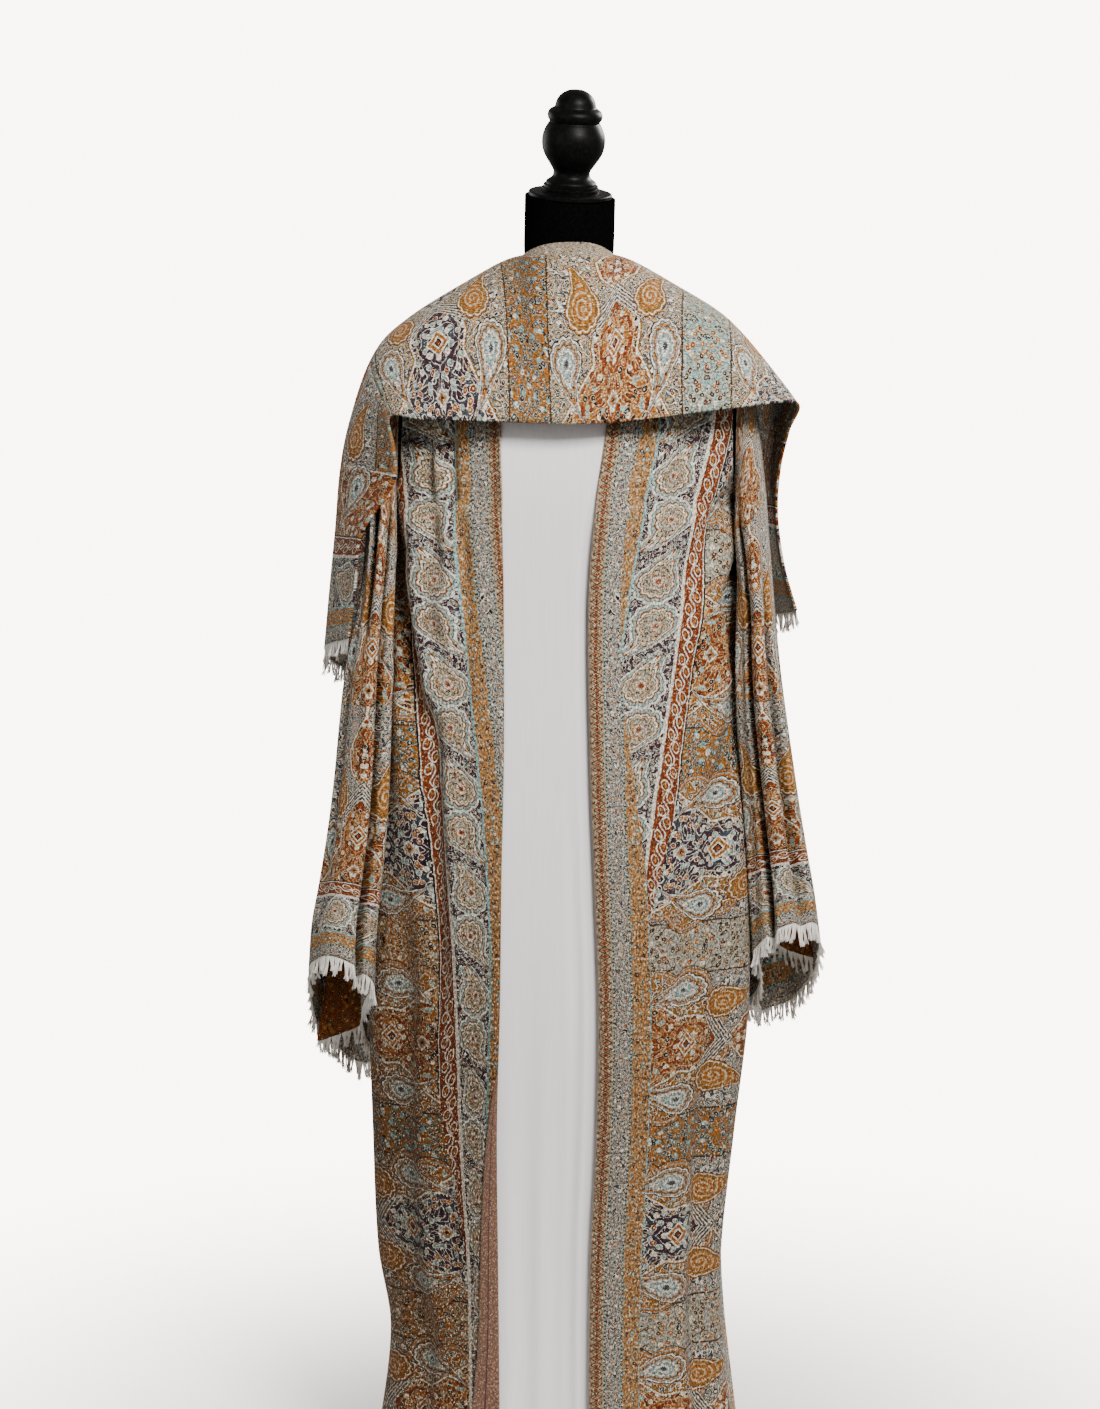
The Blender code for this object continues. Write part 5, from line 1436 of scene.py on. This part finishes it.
# Turned edge
# Low on the wearer's right front the opening edge has turned over toward the outside, so a strip of the
# brown underside shows and widens to the hem.
TURN_TOP, TURN_WIDTH, TURN_LEAST, TURN_LIFT, TURN_CLEAR = 0.541, 0.036, 0.0012, 0.0032, 0.0014
TURN_COLUMNS, TURN_ROWS = 14, 70
BEHIND_TURN = Vector((0.0, 0.3, 0.3))
FRONT_WIDTH = 0.26
turn_start = YOKE_SHARE + (1.0 - YOKE_SHARE) * (UNDERARM_Z - TURN_TOP) / (UNDERARM_Z - HEM_Z)


def turned_point(u, v):
    """The turned strip: u from the opening edge outward, v from where it starts to turn down to the hem."""
    row = turn_start + (1.0 - turn_start) * v
    width = TURN_WIDTH * v**0.7 * (1.0 + 0.06 * math.sin(9.0 * v))
    point = front_point(-1.0, u * max(width, TURN_LEAST) / FRONT_WIDTH, row)
    lift = TURN_LIFT * (0.35 + 0.65 * math.sin(math.pi * (0.15 + 0.75 * u)))
    return point + Vector((0.0, -TURN_CLEAR - lift * ease(v * 8.0), 0.0))


turned_edge = cloth_piece("turned_edge_cloth", TURN_COLUMNS, TURN_ROWS, turned_point,
                          lambda u, v: (TURN_WIDTH * u, TURN_TOP * (1.0 - v)), BEHIND_TURN)
turned_cloth = start_material("jacquard_turned_edge", 0.86, Sheen_Weight=0.15, Sheen_Roughness=0.5)
place = add("UVMap", uv_map="cloth")
turned_inks = ((0.0, "#7d5a42"), (0.3, "#4a2118"), (0.55, "#8f7257"), (0.8, "#33201b"))
worn = flowered("#5c3a2a", place, 230.0, turned_inks, "#7a4f3c", "#9a7558")
apart = add("SeparateXYZ", place)
fold_line = add("Math", apart, TURN_WIDTH * 0.52, 0.0011, operation="COMPARE")
worn = add("MixRGB", fold_line, worn, linear("#43161a"))
loose = add("TexNoise", place, None, 640.0, 2.0, 0.7)
speck = add("ValToRGB", loose, stops=((0.36, "#6a5c54"), (0.62, "#ffffff")))
worn = add("MixRGB", 0.7, worn, speck, blend_type="MULTIPLY")
tree.links.new(worn.outputs[0], shader.inputs["Base Color"])
tree.links.new(add("Bump", 0.4, 0.0008, None, loose).outputs[0], shader.inputs["Normal"])
give_wall(turned_edge, CLOTH * 0.6, turned_cloth, turned_cloth)
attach(turned_edge, "root")


# Fringes
# Short wool yarn ends left at the cuffs and at both ends of the shawl where the weave stops, twisted in
# small bunches, uneven in length and a little tangled. Undyed wool gives them a soft matt off-white.
YARN_RADIUS, BUNCH_GAP, BUNCH_STRANDS, STRAND_PARTS = 0.00050, 0.0066, 13, 4
FRINGE_LENGTH, STRAY, TUCKED = 0.021, 0.0024, 0.0010
CUFF_SEEDS, SHAWL_SEEDS = {"left": 11, "right": 23}, {"left": 37, "right": 41}
yarn = start_material("off_white_wool_yarn", 0.9, Sheen_Weight=0.3, Sheen_Roughness=0.5)
place = add("TexCoord").outputs["Object"]
fuzz = add("TexNoise", place, None, 900.0, 2.0, 0.6)
shade = add("ValToRGB", fuzz, stops=((0.30, "#b9b1a5"), (0.55, "#e6e2da"), (0.75, "#f6f4ef")))
tree.links.new(shade.outputs[0], shader.inputs["Base Color"])
tree.links.new(add("Bump", 0.4, 0.0006, None, fuzz).outputs[0], shader.inputs["Normal"])


def fringe(name, edge, above, length, seed):
    """Yarn ends in small loose bunches along an edge, given as a function of a share of its length."""
    chance = random.Random(seed)
    run = sum((edge(part / 60.0) - edge((part + 1) / 60.0)).length for part in range(60))
    bunches = int(run / BUNCH_GAP)
    strands = bpy.data.curves.new(name, "CURVE")
    strands.dimensions = "3D"
    strands.bevel_depth = YARN_RADIUS
    strands.bevel_resolution = 0
    for number in range(bunches):
        share = (number + chance.uniform(0.35, 0.65)) / bunches
        middle = edge(share)
        down = ((middle - above(share)).normalized() * 0.7 + Vector((0.0, 0.0, -1.0))).normalized()
        reach = length * chance.uniform(0.72, 1.22)
        sway = Vector((chance.uniform(-1.0, 1.0), chance.uniform(-1.0, 1.0), 0.0)) * (reach * 0.2)
        for strand in range(BUNCH_STRANDS):
            offset = (strand / (BUNCH_STRANDS - 1) - 0.5) * 0.92 / bunches
            start = edge(min(max(share + offset, 0.0), 1.0))
            side_stray, deep_stray = chance.uniform(-1.0, 1.0), chance.uniform(-1.0, 1.0)
            stray = Vector((side_stray, deep_stray, chance.uniform(-0.6, 0.6))) * STRAY
            line = strands.splines.new("POLY")
            line.points.add(STRAND_PARTS)
            for index, point in enumerate(line.points):
                t = index / STRAND_PARTS
                spread = (start - middle) * (1.0 - 0.78 * ease(t * 1.5))
                spot = middle + spread + down * (reach * t - TUCKED) + (sway + stray) * (t * t)
                point.co = (*spot, 1.0)
                point.radius = 1.0 - 0.4 * t
    made = bpy.data.objects.new(name, strands)
    bpy.context.collection.objects.link(made)
    bpy.context.view_layer.objects.active = made
    made.select_set(True)
    bpy.ops.object.convert(target="MESH")
    made = bpy.context.object
    bpy.ops.object.shade_smooth()
    made.data.materials.clear()
    made.data.materials.append(yarn)
    made.select_set(False)
    return made


for name, side in (("left", 1.0), ("right", -1.0)):
    ends = fringe("cuff_yarn_" + name, lambda share: sleeve_point(side, 360.0 * share, 1.0),
                  lambda share: sleeve_point(side, 360.0 * share, 0.985), FRINGE_LENGTH, CUFF_SEEDS[name])
    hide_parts("cuff_fringe_" + name)
    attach(ends, "root")
for name, station, inner in (("left", last_station, last_station - 0.2), ("right", 0.0, 0.2)):
    ends = fringe("shawl_yarn_" + name, lambda share: shawl_point(station, share),
                  lambda share: shawl_point(inner, share), FRINGE_LENGTH, SHAWL_SEEDS[name])
    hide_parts("shawl_fringe_" + name)
    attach(ends, "root")


# Cuff folds
# The sleeve ends are so wide that a part of the back wall folds forward inside each cuff. It shows its
# brown underside, and its own fringe hangs across the lower part of the opening. Each row below holds
# the two ends of its lower edge and then of its top, the inner one first.
FOLD_PLACES = {
    "left": ((0.250, 0.030, 0.660), (0.301, 0.030, 0.639), (0.242, 0.040, 0.78), (0.264, 0.040, 0.78)),
    "right": ((-0.234, 0.030, 0.566), (-0.308, 0.030, 0.534), (-0.232, 0.040, 0.72), (-0.278, 0.040, 0.72)),
}
FOLD_COLUMNS, FOLD_ROWS, FOLD_FRINGE_LENGTH = 24, 30, 0.022
FOLD_MAP_LENGTH, FOLD_MAP_WIDTH = 0.15, 0.07
FOLD_SEEDS = {"left": 53, "right": 61}
BEHIND_FOLDS = {"left": Vector((0.27, 0.3, 0.6)), "right": Vector((-0.27, 0.3, 0.6))}
for name, (inner_end, outer_end, inner_top, outer_top) in FOLD_PLACES.items():

    def fold_edge(u):
        """The lower edge of the fold, from the inner side of the cuff to the outer one."""
        point = Vector(inner_end).lerp(Vector(outer_end), u)
        return point + Vector((0.0, 0.004 * math.sin(7.0 * u), -0.004 * math.sin(math.pi * u)))

    def fold_point(u, v):
        """The fold: u along its lower edge, v from its top down."""
        low = fold_edge(u)
        high = Vector(inner_top).lerp(Vector(outer_top), u)
        return high.lerp(low, v) + Vector((0.0, 0.003 * math.sin(9.0 * u + 2.0 * v), 0.0))

    fold = cloth_piece("cuff_fold_cloth_" + name, FOLD_COLUMNS, FOLD_ROWS, fold_point,
                       lambda u, v: (CLOTH_END + FOLD_MAP_LENGTH * (1.0 - v), FOLD_MAP_WIDTH * u),
                       BEHIND_FOLDS[name])
    give_wall(fold, CLOTH, cloth_back, cloth_back)
    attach(fold, "root")
    ends = fringe("cuff_fold_yarn_" + name, fold_edge, lambda share: fold_point(share, 0.8),
                  FOLD_FRINGE_LENGTH, FOLD_SEEDS[name])
    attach(ends, "root")
